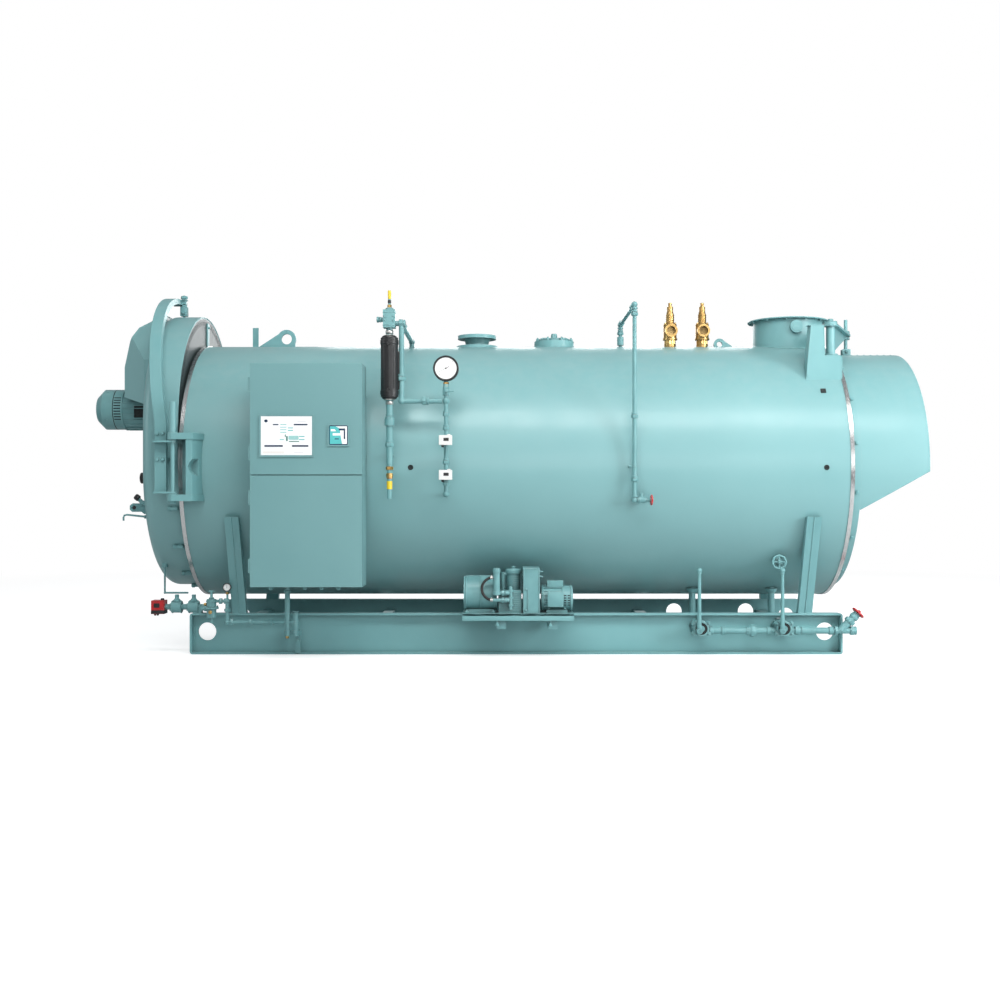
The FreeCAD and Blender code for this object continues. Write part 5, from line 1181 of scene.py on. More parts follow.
# pressure line: unions, a hex cock on top, the small stop valve and its red wheel
def makePressureTrim():
    x, y = 0.772, -0.95
    bottom, top = axisZ - 0.215, axisZ + 1.067
    bm = bmesh.new()
    for centre, way in (((x, y, top - 0.075), up), ((x, y, bottom + 0.12), up), ((x, y, axisZ + 0.32), up),
            ((x, y + 0.1, top), (0, 1, 0)), ((x, -0.1, top), (0, 1, 0)), ((x, 0, top - 0.075), up)):
        turnAt(bm, [(0.0138, 0), (0.0215, 0.002), (0.023, 0.005), (0.023, 0.02), (0.0215, 0.023), (0.0138, 0.025)],
            centre, way, 6)
        turnAt(bm, [(0.0138, 0.025), (0.0195, 0.026), (0.0195, 0.038), (0.0138, 0.04)], centre, way, 24)
    for centre in ((x, 0, top), (x, y, top), (x, y, bottom)):
        for way in (((0, 0, -1), (0, -1, 0)) if centre[1] == 0 else ((0, 0, -1),
                (0, 1, 0)) if centre[2] == top else (up, alongX)):
            turnAt(bm, [(0.0145, 0.018), (0.0205, 0.019), (0.0205, 0.03), (0.0145, 0.031)], centre, way, 24)
    addCollar(bm, 0.0205, 0.026, 0.012, 0.002, (x + 0.026, y, bottom), alongX, 6)
    addCollar(bm, 0.0138, 0.0185, 0.012, 0.001, (x + 0.07, y, bottom), alongX, 6)
    addTube(bm, [(x + 0.045, y, bottom + 0.014), (x + 0.045, y, bottom + 0.04)], [0.012, 0.01], 16)
    addHex(bm, 0.022, 0.008, (x + 0.045, y, bottom + 0.038), up)
    # wall bracket half way down the drop
    reach = onShell(x, bottom - axisZ + 0.22)[0]
    addTube(bm, [(x - 0.03, y, bottom + 0.22), (x - 0.03, reach.y, bottom + 0.22)], 0.006, 10)
    addRing(bm, (x, y, bottom + 0.22), 0.016, 0.003, up, 24, 8)
    addTube(bm, [(x - 0.016, y, bottom + 0.22), (x - 0.036, y, bottom + 0.22)], 0.006, 10)
    makePiece("pressureFittings", bm, "tealFitting")
    bm = bmesh.new()
    addHandwheel(bm, (x + 0.112, y, bottom), 0.036, 0.0052, alongX, 5)
    turnAt(bm, [(0, -0.008), (0.0325, -0.008), (0.0335, -0.0065), (0.0335, 0.0075), (0.0325, 0.0085), (0, 0.0085)],
        (x + 0.111, y, bottom), alongX, 5)
    makePiece("pressureWheel", bm, "redEnamel")


makePressureTrim()


# blowdown: bolted covers and caps on the quick valves, joints along the run, wheels
blowdownTrim = {"valves": (1.246, 1.804)}


def makeBlowdownTrim():
    y, z = -0.7, 0.185
    bm, dark = newMeshes(2)
    for x in blowdownTrim["valves"]:
        # two bolted ears on each side, a body rib, and the bonnet rings
        for turn in (35, 145, 215, 325):
            way = Vector((cos(radians(turn)), 0, sin(radians(turn))))
            ear = Vector((x, y - 0.02, z)) + way * 0.06
            turnAt(bm, [(0, -0.018), (0.015, -0.018), (0.016, -0.014), (0.016, 0.014), (0.015, 0.018), (0, 0.018)],
                ear, toViewer, 20)
            addBlock(bm, (0.03, 0.03, 0.018), placeAt(Vector((x, y - 0.02, z)) + way * 0.046,
                toViewer) @ Matrix.Rotation(radians(turn), 4, "Z"), 0.003)
            addBolt(bm, 0.016, ear + Vector((0, -0.018, 0)), toViewer, 0.018)
            addHex(bm, 0.016, 0.01, ear + Vector((0, 0.018, 0)), (0, 1, 0))
        addRing(bm, (x, y - 0.04, z), 0.047, 0.004, toViewer, 40, 8)
        addRing(bm, (x, y + 0.034, z), 0.0515, 0.004, toViewer, 40, 8)
        for place in (0.06, 0.2):
            turnAt(bm, [(0.0245, 0), (0.034, 0.001), (0.036, 0.004), (0.036, 0.03), (0.034, 0.033), (0.0245, 0.034)],
                (x, y + place, z), (0, 1, 0))
        turnAt(dark, [(0.022, 0), (0.04, 0.0), (0.04, 0.0012), (0.022, 0.0012)], (x, y - 0.0418, z), toViewer, 32)
        # drop below the shell: weld collar at the jacket
        turnAt(bm, [(0.0245, 0), (0.044, -0.004), (0.034, -0.03), (0.0245, -0.034)], (x, -0.33, axisZ - 0.8345), up)
    # joints along the run
    for x, wide in ((1.3, 0.03), (1.385, 0.028), (1.69, 0.027), (1.88, 0.029), (1.985, 0.027), (2.11, 0.028)):
        turnAt(bm, [(0.0212, 0), (wide - 0.002, 0.001), (wide, 0.004), (wide, 0.026), (wide - 0.002, 0.029),
            (0.0212, 0.03)], (x, y, 0.169), alongX)
    union = (1.568, y, 0.169)
    turnAt(bm, [(0.0345, 0.012), (0.041, 0.014), (0.043, 0.018), (0.043, 0.036), (0.041, 0.04), (0.0345, 0.042)],
        union, alongX, 8)
    turnAt(bm, [(0.0212, -0.014), (0.029, -0.013), (0.031, 0.0), (0.0212, 0.0)], union, alongX, 8)
    slant = Vector((1, 0, 1)).normalized()
    foot = Vector((2.19, y, 0.169))
    turnAt(bm, [(0.0265, 0.076), (0.036, 0.078), (0.038, 0.082), (0.038, 0.1), (0.036, 0.104), (0.0265, 0.106)], foot,
        slant, 6)
    turnAt(bm, [(0.0265, 0.12), (0.031, 0.122), (0.031, 0.138), (0.024, 0.16), (0.0075, 0.162)], foot, slant, 24)
    addCollar(bm, 0.0285, 0.033, 0.018, 0.002, (2.258, y, 0.169), alongX, 6)
    addCollar(bm, 0.0285, 0.033, 0.016, 0.002, (2.15, y, 0.169), alongX, 6)
    makePiece("blowdownFittings", bm, "tealFitting")
    makePiece("blowdownShadows", dark, "darkHollow")

    for side, x in (("front", 1.228), ("rear", 1.786)):
        bm = bmesh.new()
        pivot = Vector((x, -0.762, 0.173))
        turnAt(bm, [(0.0095, 0.0121), (0.019, 0.0125), (0.0195, 0.016), (0.0095, 0.018)], pivot, toViewer)
        turnAt(bm, [(0.0125, 0.382), (0.0145, 0.384), (0.0135, 0.396), (0.0105, 0.398)], pivot, up, 20)
        addBlock(bm, (0.004, 0.016, 0.33), placeAt(pivot + Vector((0, 0, 0.2))), 0.0015)
        turnAt(bm, [(0.0165, 0.02), (0.0185, 0.022), (0.0175, 0.036), (0.0145, 0.038)], pivot, up, 20)
        makePiece("leverTrim_" + side, bm, "tealFitting", "lever_" + side)

    bm = bmesh.new()
    centre = foot + slant * 0.17
    addHex(bm, 0.02, 0.009, centre + slant * 0.0105, slant)
    for spoke in range(3):
        place = placeAt(centre, slant)
        turn = radians(120 * spoke + 60)
        way = (place.to_3x3() @ Vector((cos(turn), sin(turn), 0)))
        addTube(bm, [centre + way * 0.012, centre + way * 0.026 - slant * 0.002, centre + way * 0.038],
            [0.005, 0.004, 0.0048], 8)
    for lobe in range(9):
        turn = 2 * pi * lobe / 9
        way = (placeAt(centre, slant).to_3x3() @ Vector((cos(turn), sin(turn), 0)))
        across = slant.cross(way)
        addTube(bm, [centre + way * 0.0405 - across * 0.008, centre + way * 0.0422,
            centre + way * 0.0405 + across * 0.008], [0.005, 0.0066, 0.005], 8)
    makePiece("outletWheelTrim", bm, "redEnamel", "outlet_wheel")


makeBlowdownTrim()


def makeDrainTrim():
    at = Vector((1.77, -0.735, axisZ - 0.633))
    bm = bmesh.new()
    addHandwheel(bm, at + Vector((0, -0.001, 0)), 0.051, 0.0075, toViewer, 4)
    addCollar(bm, 0.0145, 0.024, 0.016, 0.002, at + Vector((0, 0.034, 0)), (0, 1, 0), 6)
    addCollar(bm, 0.0285, 0.034, 0.016, 0.002, at + Vector((0, 0.062, 0)), (0, 1, 0), 8)
    makePiece("drainTrim", bm, "tealFitting")


makeDrainTrim()
print("blowdown made")


# front head: clamping dogs, perforated inlet, burner plate on the face, seams of the hood, motor parts
headTrim = {
    "dogs": 8,
    "dogStart": -161,
    "dogStep": 20.3,
    "dogRadius": 0.842,
    "perforations": 46,
    "motorRibs": 22,
    "faceBolts": 24,
}


def headOutline(radius, rise, count):
    # the head's round-topped outline, from the left side over the top to the right side
    points = []
    for step in range(count + 1):
        turn = pi * step / count
        points.append((-radius * cos(turn), rise + radius * sin(turn)))
    return points


def makeHeadTrim():
    rise = 0.285
    bm = bmesh.new()
    rearX = -2.262
    for index in range(headTrim["dogs"]):
        turn = radians(headTrim["dogStart"] + headTrim["dogStep"] * index)
        way = Vector((0, cos(turn), sin(turn)))
        base = Vector((rearX, 0, axisZ)) + way * headTrim["dogRadius"]
        turnAt(bm, [(0, 0.003), (0.01, 0.003), (0.013, 0), (0.013, -0.046), (0.017, -0.05), (0.017, -0.066),
            (0.014, -0.07), (0, -0.07)], base, alongX, 20)
        place = tilted(base - way * 0.006, turn - pi / 2, "X")
        addBlock(bm, (0.03, 0.03, 0.016), place @ Matrix.Translation((-0.022, 0, 0)), 0.003)
    # rim bead round the collar's back edge
    addRing(bm, (-2.2425, 0, axisZ), 0.8275, 0.004, alongX, 120, 8)
    path = [(-2.2565, y, axisZ + z) for y, z in headOutline(0.8265, rise, 60)]
    addTube(bm, path, 0.0045, 8)
    # burner plate on the front face with its bolts and sight glass rim
    face = -2.5053
    place = placeAt((face, 0, axisZ - 0.25), (-1, 0, 0))
    addTurned(bm, [(0, 0), (0.33, 0), (0.336, 0.004), (0.336, 0.012), (0.33, 0.016), (0.262, 0.016), (0.256, 0.022),
        (0.256, 0.04), (0.25, 0.046), (0, 0.046)], place, 72)
    for index in range(headTrim["faceBolts"]):
        turn = 2 * pi * (index + 0.5) / headTrim["faceBolts"]
        point = Vector((face - 0.016, 0.298 * cos(turn), axisZ - 0.25 + 0.298 * sin(turn)))
        addBolt(bm, 0.019, point, (-1, 0, 0), 0.018, turn)
    turnAt(bm, [(0.0345, 0.04), (0.043, 0.041), (0.043, 0.058), (0.03, 0.06), (0.03, 0.056)], (face, 0, axisZ + 0.06),
        (-1, 0, 0), 32)
    # fuel pipe elbow under the plate
    elbow = [Vector((face - 0.046, 0.16, axisZ - 0.38)), Vector((face - 0.075, 0.16, axisZ - 0.38)),
        Vector((face - 0.092, 0.16, axisZ - 0.387)), Vector((face - 0.1, 0.16, axisZ - 0.405)),
        Vector((face - 0.1, 0.16, axisZ - 0.6))]
    addTube(bm, elbow, 0.024, 20)
    addCollar(bm, 0.0245, 0.034, 0.024, 0.002, (face - 0.1, 0.16, axisZ - 0.5), up, 8)
    turnAt(bm, [(0, 0), (0.03, 0), (0.034, 0.004), (0.034, 0.026), (0.0245, 0.03)], (face - 0.1, 0.16, axisZ - 0.615),
        up, 24)
    makePiece("headTrim", bm, "tealPlate", "front_head")

    # perforated strip round the inlet, made as small raised discs on a dark band; the discs are painted shade, dark
    # as holes
    bm, dark = newMeshes(2)
    back = -2.2562
    outer, inner = (headOutline(reach, rise, 60) for reach in (0.8, 0.77))
    for quad in zip(outer, outer[1:], inner[1:], inner):
        bm.faces.new([bm.verts.new((back + 0.0018, y, axisZ + z)) for y, z in quad])
    bmesh.ops.remove_doubles(bm, verts=bm.verts, dist=0.0004)
    count = headTrim["perforations"]
    for index in range(count):
        turn = pi * (index + 0.5) / count
        for radius in (0.778, 0.792):
            point = (back + 0.002, -radius * cos(turn), axisZ + rise + radius * sin(turn))
            turnAt(dark, [(0, 0.0006), (0.0045, 0.0006), (0.0045, 0)], point, alongX, 10)
    makePiece("inletStrip", bm, "perforatedSteel", "front_head")
    makePiece("inletHoles", dark, "darkHollow", "front_head")
    post = bmesh.new()
    top = axisZ + rise + 0.79
    low = axisZ + 0.834
    addBlock(post, (0.01, 0.056, top - low), placeAt((back + 0.006, 0, (top + low) / 2)), 0.003)
    for height in (low + 0.03, top - 0.03):
        addBolt(post, 0.014, (back + 0.011, 0, height), alongX)
    makePiece("inletPost", post, "tealPlate", "front_head")


makeHeadTrim()


def makeHoodTrim():
    high = boxOf("fan_hood")[1]
    bm = bmesh.new()
    # flange where the hood meets the head, with screws
    back = high.x - 0.003
    outline = [(-0.402, 0.43), (-0.402, 0.776), (-0.236, 1.088), (-0.172, 1.108), (0.172, 1.108), (0.236, 1.088),
        (0.402, 0.776), (0.402, 0.43)]
    path = []
    for (y1, z1), (y2, z2) in zip(outline, outline[1:]):
        for step in range(6):
            share = step / 6
            path.append((back, y1 + (y2 - y1) * share, axisZ + z1 + (z2 - z1) * share))
    addTube(bm, path, 0.005, 8)
    for y, z, way in ((-0.4, 0.48, (0, -1, 0)), (-0.4, 0.6, (0, -1, 0)), (-0.4, 0.72, (0, -1, 0)),
            (0.4, 0.48, (0, 1, 0)), (0.4, 0.6, (0, 1, 0)), (0.4, 0.72, (0, 1, 0))):
        addBolt(bm, 0.014, (back - 0.022, y, axisZ + z), way)
    for y in (-0.1, 0.0, 0.1):
        addBolt(bm, 0.014, (back - 0.03, y, axisZ + 1.1115), up)
    makePiece("hoodTrim", bm, "tealShell", "front_head")

    motorLow, motorHigh = boxOf("blower_motor")
    z = (motorLow.z + motorHigh.z) / 2
    radius = (motorHigh.z - motorLow.z) / 2
    end = motorLow.x
    ribs = bmesh.new()
    for index in range(headTrim["motorRibs"]):
        turn = 2 * pi * index / headTrim["motorRibs"]
        way = Vector((0, cos(turn), sin(turn)))
        place = tilted(Vector((end + 0.328, 0, z)) + way * (radius + 0.0005), turn - pi / 2, "X")
        addBlock(ribs, (0.24, 0.005, 0.012), place, 0.0015)
    addRing(ribs, (end + 0.2, 0, z), radius + 0.001, 0.005, alongX, 64, 8)
    addRing(ribs, (end + 0.455, 0, z), radius + 0.002, 0.006, alongX, 64, 8)
    # cowl face: grille rings, spokes and rim screws
    for ring in (0.03, 0.048, 0.066, 0.084):
        addRing(ribs, (end - 0.0005 + 0.003, 0, z), ring, 0.0024, alongX, 48, 8)
    for spoke in range(6):
        turn = pi * spoke / 3
        addTube(ribs, [(end + 0.0026, 0.012 * cos(turn), z + 0.012 * sin(turn)),
            (end + 0.0026, 0.096 * cos(turn), z + 0.096 * sin(turn))], 0.0024, 8)
    for screw in range(4):
        turn = pi * screw / 2 + 0.6
        addCap(ribs, 0.0065, 0.004, (0.002, 0.0045, 0.005), (end + 0.085, (radius - 0.001) * cos(turn),
            z + (radius - 0.001) * sin(turn)), (0, cos(turn), sin(turn)), 14)
    makePiece("motorRibs", ribs, "tealFitting", "front_head")
    # painted shade in the groove, in the vent slots and between the grille rings
    dark = bmesh.new()
    addRing(dark, (end + 0.134, 0, z), radius - 0.004, 0.0046, alongX, 72, 8)
    for row in range(9):
        for side in (1, -1):
            way = Vector((0, -side * cos(radians(-32 + row * 8)), sin(radians(-32 + row * 8))))
            angle = atan2(way.z, way.y)
            place = tilted(Vector((end + 0.166, 0, z)) + way * (radius - 0.0012), angle - pi / 2, "X")
            addBlock(dark, (0.05, 0.0085, 0.004), place, 0.0012)
    for ring in (0.021, 0.039, 0.057, 0.075):
        addRing(dark, (end + 0.002, 0, z), ring, 0.0016, alongX, 48, 6)
    makePiece("motorVents", dark, "darkHollow", "front_head")
    # painted shade standing in the opening under the hood beside the motor
    dark = bmesh.new()
    addBlock(dark, (0.094, 0.006, 0.088), placeAt((-2.704, -0.144, z - 0.025)), 0.006)
    makePiece("motorOpening", dark, "darkHollow", "front_head")
    frameMesh = bmesh.new()
    addTube(frameMesh, [(-2.704 + x, -0.1475, z - 0.025 + dz) for x, dz in roundedBox(0.098, 0.092, 0.008)], 0.004, 8,
        True)
    makePiece("motorOpeningRim", frameMesh, "tealFitting", "front_head")


makeHoodTrim()


def makeStrapTrim():
    bm = bmesh.new()
    crest = axisZ + 0.29 + 0.958
    # nuts on the hanger, its fork and washers
    addHex(bm, 0.044, 0.02, (-2.424, 0, axisZ + 1.258), up)
    addHex(bm, 0.036, 0.016, (-2.424, 0, axisZ + 1.198), up)
    turnAt(bm, [(0.01, 0), (0.028, 0), (0.028, 0.005), (0.01, 0.005)], (-2.424, 0, crest - 0.0045), up, 24)
    for side in (-1, 1):
        addBlock(bm, (0.052, 0.008, 0.07), placeAt((-2.424, side * 0.017, axisZ + 1.165)), 0.003)
        addBolt(bm, 0.018, (-2.424, side * 0.021, axisZ + 1.15), (0, side, 0), 0.016)
    # knuckle nuts and grease caps over the pin
    for height in (0.172, -0.184):
        addCollar(bm, 0.014, 0.027, 0.01, 0.001, (-2.243, -1.0, axisZ + height - 0.011), up, 28)
    for height in (0.052, 0.222):
        for x in (-2.352, -2.318):
            addBolt(bm, 0.02, (x, -0.9575, axisZ + height), toViewer)
    makePiece("strapTrim", bm, "tealPlate", "front_head")
    bm = bmesh.new()
    for height, way in ((0.4232, 1), (-0.2225, -1)):
        if way > 0:
            turnAt(bm, [(0, -0.002), (0.022, -0.002), (0.02, 0.003), (0.01, 0.006), (0, 0.006)],
                (-2.243, -1.0, axisZ + height), up)
        else:
            addHex(bm, 0.04, 0.018, (-2.243, -1.0, axisZ + height), (0, 0, -1))
    for height in (0.201, -0.201):
        addRing(bm, (-2.243, -1.0, axisZ + height + 0.0225), 0.027, 0.004, up, 32, 8)
        addRing(bm, (-2.243, -1.0, axisZ + height - 0.0225), 0.027, 0.004, up, 32, 8)
    makePiece("hingeTrim", bm, "tealPlate")


burnerControls = {"face": -2.5053, "y": -0.42, "topKnob": -0.062, "lowKnob": -0.19, "bracket": -0.268, "lever": -0.33}


def makeBurnerControls():
    face, y = burnerControls["face"], burnerControls["y"]
    body, knobs, red = bmesh.new(), bmesh.new(), bmesh.new()
    high = axisZ + burnerControls["topKnob"]
    turnAt(body, [(0.03, 0), (0.03, 0.012), (0.014, 0.018), (0.014, 0.088)], (face, y, high), (-1, 0, 0), 24)
    turnAt(knobs, [(0, 0.082), (0.034, 0.082), (0.04, 0.086), (0.04, 0.108), (0.034, 0.114), (0, 0.114)],
        (face, y, high), (-1, 0, 0), 10)
    addRing(red, (face - 0.083, y, high), 0.036, 0.004, alongX, 32, 8)
    low = axisZ + burnerControls["lowKnob"]
    addTube(body, [(face + 0.002, y, low - 0.05), (face - 0.1, y, low - 0.048), (face - 0.128, y, low - 0.02)],
        [0.024, 0.019, 0.013], 18)
    tilt = Vector((-0.8, 0, 0.6))
    turnAt(knobs, [(0, 0), (0.018, 0), (0.022, 0.005), (0.022, 0.026), (0.018, 0.034), (0, 0.036)],
        Vector((face - 0.126, y, low - 0.018)), tilt, 12)
    middle = axisZ + burnerControls["bracket"]
    addPlate(body, [(0, -0.046), (0, 0.052), (0.07, 0.052), (0.085, 0.03), (0.172, 0.03), (0.192, 0.014),
        (0.192, -0.014), (0.176, -0.03), (0.11, -0.03), (0.09, -0.046)], 0.012,
        tilted((face, y, middle), pi, "Z") @ Matrix.Rotation(pi / 2, 4, "X"))
    for reach in (0.045, 0.16):
        turnAt(knobs, [(0, 0.0008), (0.013, 0.0008), (0.014, 0)], (face - reach, y - 0.0002, middle), toViewer, 20)
        addRing(body, (face - reach, y - 0.001, middle), 0.016, 0.003, (0, 1, 0), 28, 8)
    rod = axisZ + burnerControls["lever"]
    addTube(body, [(face + 0.002, y, rod - 0.02), (face - 0.06, y, rod - 0.004), (face - 0.212, y, rod + 0.012),
        (face - 0.23, y, rod + 0.007), (face - 0.236, y, rod - 0.008), (face - 0.235, y, rod - 0.03)],
        [0.011, 0.0075, 0.0065, 0.0065, 0.0065, 0.0065], 12)
    turnAt(body, [(0.0076, 0), (0.014, 0.001), (0.014, 0.018), (0.0076, 0.02)], (face - 0.07, y, rod - 0.003),
        (-1, 0, 0), 6)
    makePiece("burnerLinkage", body, "tealFitting", "front_head")
    makePiece("headKnobs", knobs, "blackPlastic", "front_head")
    makePiece("knobRing", red, "redEnamel", "front_head")


makeStrapTrim()
makeBurnerControls()
print("front head made")


# rear door, hood and davit
rearTrim = {"studs": 16, "studRadius": 0.84}


def makeRearTrim():
    bm = bmesh.new()
    for index in range(rearTrim["studs"]):
        turn = 2 * pi * (index + 0.5) / rearTrim["studs"]
        way = Vector((0, cos(turn), sin(turn)))
        turnAt(bm, [(0.0135, -0.002), (0.0135, 0.006), (0.01, 0.011), (0, 0.012)],
            Vector((2.266, 0, axisZ)) + way * rearTrim["studRadius"], way, 16)
    # rolled edge at the hood's end, its lap seam and the folded slope edge
    end = 2.7485
    limit = asin(-0.02 / 0.838)
    path = []
    for step in range(61):
        turn = limit + (pi - 2 * limit) * step / 60
        path.append((end - 0.0055, 0.8365 * cos(turn), axisZ + 0.8365 * sin(turn)))
    addTube(bm, path, 0.0045, 8)
    for side in (-1, 1):
        path = []
        for step in range(13):
            share = step / 12
            z = -0.278 + 0.258 * share
            path.append((2.296 + 0.452 * share, side * (sqrt(0.84 ** 2 - z * z) - 0.001), axisZ + z))
        addTube(bm, path, 0.0045, 8)
    for index in range(9):
        x = 2.33 + index * 0.048
        for y in (-0.12, 0.12):
            z = sqrt(0.84 ** 2 - y * y)
            addCap(bm, 0.007, 0.0045, (0.0012, 0.0035, 0.004), (x, y, axisZ + z - 0.0005), (0, y, z), 12)
    # end plate of the hood: frame and screws
    addTube(bm, [(2.7442, y, axisZ + 0.36 + z) for y, z in roundedBox(0.9, 0.46, 0.05)], 0.005, 8, True)
    for side in (-1, 1):
        for height in (0.18, 0.36, 0.54):
            turnAt(bm, [(0.01, -0.004), (0.01, -0.001), (0.006, 0.0008), (0, 0.0009)],
                (2.7486, side * 0.425, axisZ + height), alongX, 12)
    makePiece("rearTrim", bm, "tealPlate", "rear_door")
    bm = bmesh.new()
    addHex(bm, 0.052, 0.022, (2.423, 0, axisZ + 1.0), up)
    addHex(bm, 0.052, 0.022, (2.423, 0, axisZ + 0.958), up)
    for side in (-1, 1):
        addBlock(bm, (0.06, 0.01, 0.052), placeAt((2.423, side * 0.024, axisZ + 0.862)), 0.003)
        addBolt(bm, 0.02, (2.423, side * 0.029, axisZ + 0.868), (0, side, 0), 0.014)
    turnAt(bm, [(0.0135, 0), (0.026, 0), (0.026, 0.004), (0.0135, 0.004)], (2.423, 0, axisZ + 0.9965), up, 24)
    makePiece("hangerTrim", bm, "tealFitting", "rear_door")


makeRearTrim()


def makeDavitTrim():
    x, y = 2.146, -0.62
    bm = bmesh.new()
    for height in (0.768, 0.968):
        turnAt(bm, [(0.0305, 0), (0.047, 0.001), (0.049, 0.004), (0.049, 0.01), (0.047, 0.0125), (0.0305, 0.0135)],
            (x, y, axisZ + height - (0 if height < 0.9 else 0.001)), up, 32)
    # welded edge strips of the bracket's near face
    corners = [(1.968, 0.595), (2.21, 0.595), (2.21, 0.765), (2.093, 0.765), (2.087, 0.972), (2.002, 0.972)]
    path = []
    for (x1, z1), (x2, z2) in zip(corners, corners[1:] + corners[:1]):
        path += [(x1 + (x2 - x1) * step / 6, -0.6685, axisZ + z1 + (z2 - z1) * step / 6) for step in range(6)]
    addTube(bm, path, 0.0035, 8, True)
    makePiece("davitBracketTrim", bm, "tealPlate")
    bm = bmesh.new()
    turnAt(bm, [(0.0155, 0), (0.04, 0), (0.043, 0.003), (0.043, 0.007), (0.0155, 0.009)], (x, y, axisZ + 0.9955), up,
        32)
    addHex(bm, 0.034, 0.014, (x, y, axisZ + 1.006), up)
    turnAt(bm, [(0.034, 0), (0.05, 0), (0.05, 0.0), (0.05, -0.012), (0.034, -0.012)], (x, y, axisZ + 0.9822), up, 36)
    makePiece("davitArmTrim", bm, "tealFitting", "davit_arm")


makeDavitTrim()
print("rear made")


# air compressor on its base
compressorTrim = {
    "tankBands": (-0.335, -0.24, -0.146),
    "fins": 9,
    "motorRibs": 20,
    "unitY": -0.79,
}


def makeCompressorTrim():
    y = compressorTrim["unitY"]
    low, high = boxOf("air_tank")
    tankZ, radius = 0.432, 0.112
    bm = bmesh.new()
    for x in compressorTrim["tankBands"]:
        addRing(bm, (x, y, tankZ), radius + 0.001, 0.004, alongX, 56, 8)
    addTube(bm, [(low.x + 0.012, y, tankZ + radius + 0.001), (high.x - 0.012, y, tankZ + radius + 0.001)], 0.003, 8)
    turnAt(bm, [(0.1, 0.0), (0.112, -0.002), (0.1135, -0.01)], (low.x + 0.001, y, tankZ), (-1, 0, 0), 56)
    for x in (low.x + 0.02, high.x - 0.025):
        for side in (-0.05, 0.05):
            addBlock(bm, (0.026, 0.04, 0.01), placeAt((x, y + side * 1.25, 0.3095)), 0.002)
            addBolt(bm, 0.013, (x, y + side * 1.35, 0.314), up, 0.013)
    # pump: cooling fins, filter lid with its wing stud
    for fin in range(compressorTrim["fins"]):
        z = 0.322 + fin * 0.0145
        addBlock(bm, (0.156, 0.178, 0.004), placeAt((-0.044, y, z)), 0.001)
    filterX = -0.02
    turnAt(bm, [(0.0455, 0), (0.052, 0.001), (0.054, 0.004), (0.054, 0.024), (0.049, 0.031), (0.012, 0.036),
        (0.01, 0.038), (0, 0.038)], (filterX, y, 0.56), up, 36)
    for ring in range(6):
        addRing(bm, (filterX, y, 0.478 + ring * 0.013), 0.0455, 0.0026, up, 36, 8)
    addTube(bm, [(filterX, y, 0.596), (filterX, y, 0.611)], 0.004, 10)
    addBlock(bm, (0.026, 0.006, 0.007), placeAt((filterX, y, 0.606)), 0.002)
    # separator caps and union nuts on its two links
    sepX, sepY = -0.1327, -0.928
    turnAt(bm, [(0, 0.01), (0.018, 0.008), (0.0245, 0.002), (0.0255, -0.004), (0.0255, -0.02), (0.0225, -0.022)],
        (sepX, sepY, 0.5955), up)
    turnAt(bm, [(0, -0.006), (0.018, -0.006), (0.0255, 0.0), (0.0255, 0.02), (0.0225, 0.022)], (sepX, sepY, 0.43), up)
    for z in (0.44, 0.394):
        turnAt(bm, [(0.0122, 0), (0.019, 0.001), (0.019, 0.016), (0.0122, 0.018)], (-0.098, sepY, z), alongX, 6)
        addCollar(bm, 0.0122, 0.0165, 0.01, 0.001, (-0.076, sepY, z), alongX, 20)
        addCollar(bm, 0.0122, 0.0175, 0.012, 0.001, (-0.06, sepY + 0.02, z), (0, 1, 0), 6)
    # the small parts between separator and filter: a check valve and an elbow pipe
    addTube(bm, [(filterX - 0.02, y - 0.06, 0.47), (filterX - 0.02, y - 0.1, 0.47), (filterX - 0.02, y - 0.104, 0.44),
        (filterX - 0.02, y - 0.104, 0.33)], 0.012, 14)
    for z in (0.445, 0.4, 0.35):
        turnAt(bm, [(0.0122, 0), (0.018, 0.001), (0.018, 0.014), (0.0122, 0.016)], (filterX - 0.02, y - 0.104, z), up,
            6)
    makePiece("compressorTrim", bm, "tealFitting")

    # belt guard: folded edge, slotted side, screws
    low, high = boxOf("belt_guard")
    middle = (low + high) / 2
    bm, dark = newMeshes(2)
    wide, tall = high.x - low.x, high.z - low.z
    addTube(bm, [(middle.x + x, low.y - 0.0005, middle.z + z) for x,
        z in roundedBox(wide - 0.01, tall - 0.01, 0.008)], 0.0032, 8, True)
    addCap(bm, 0.0085, 0.005, (0.002, 0.005, 0.0055), (low.x + 0.02, low.y, middle.z + 0.01), toViewer, 16)
    addCap(bm, 0.0085, 0.005, (0.002, 0.005, 0.0055), (low.x + 0.02, low.y, low.z + 0.02), toViewer, 16)
    addTube(bm, [(low.x + 0.032, low.y - 0.002, low.z + 0.022), (low.x + 0.032, low.y - 0.002, middle.z + 0.006)],
        0.0035, 8)
    for z in (high.z - 0.022, high.z - 0.055):
        addTube(bm, [(high.x - 0.001, low.y + 0.03, z), (high.x + 0.022, low.y + 0.03, z - 0.002)], [0.006, 0.0045],
            12)
    # painted shade in the slots on both sides of the guard
    for row in range(12):
        z = low.z + 0.035 + row * 0.02
        addBlock(dark, (0.0012, 0.15, 0.007), placeAt((high.x + 0.0004, middle.y, z)), 0.0004)
        addBlock(dark, (0.0012, 0.15, 0.007), placeAt((low.x - 0.0004, middle.y, z)), 0.0004)
    makePiece("guardTrim", bm, "tealCabinet")
    makePiece("guardSlots", dark, "darkHollow")

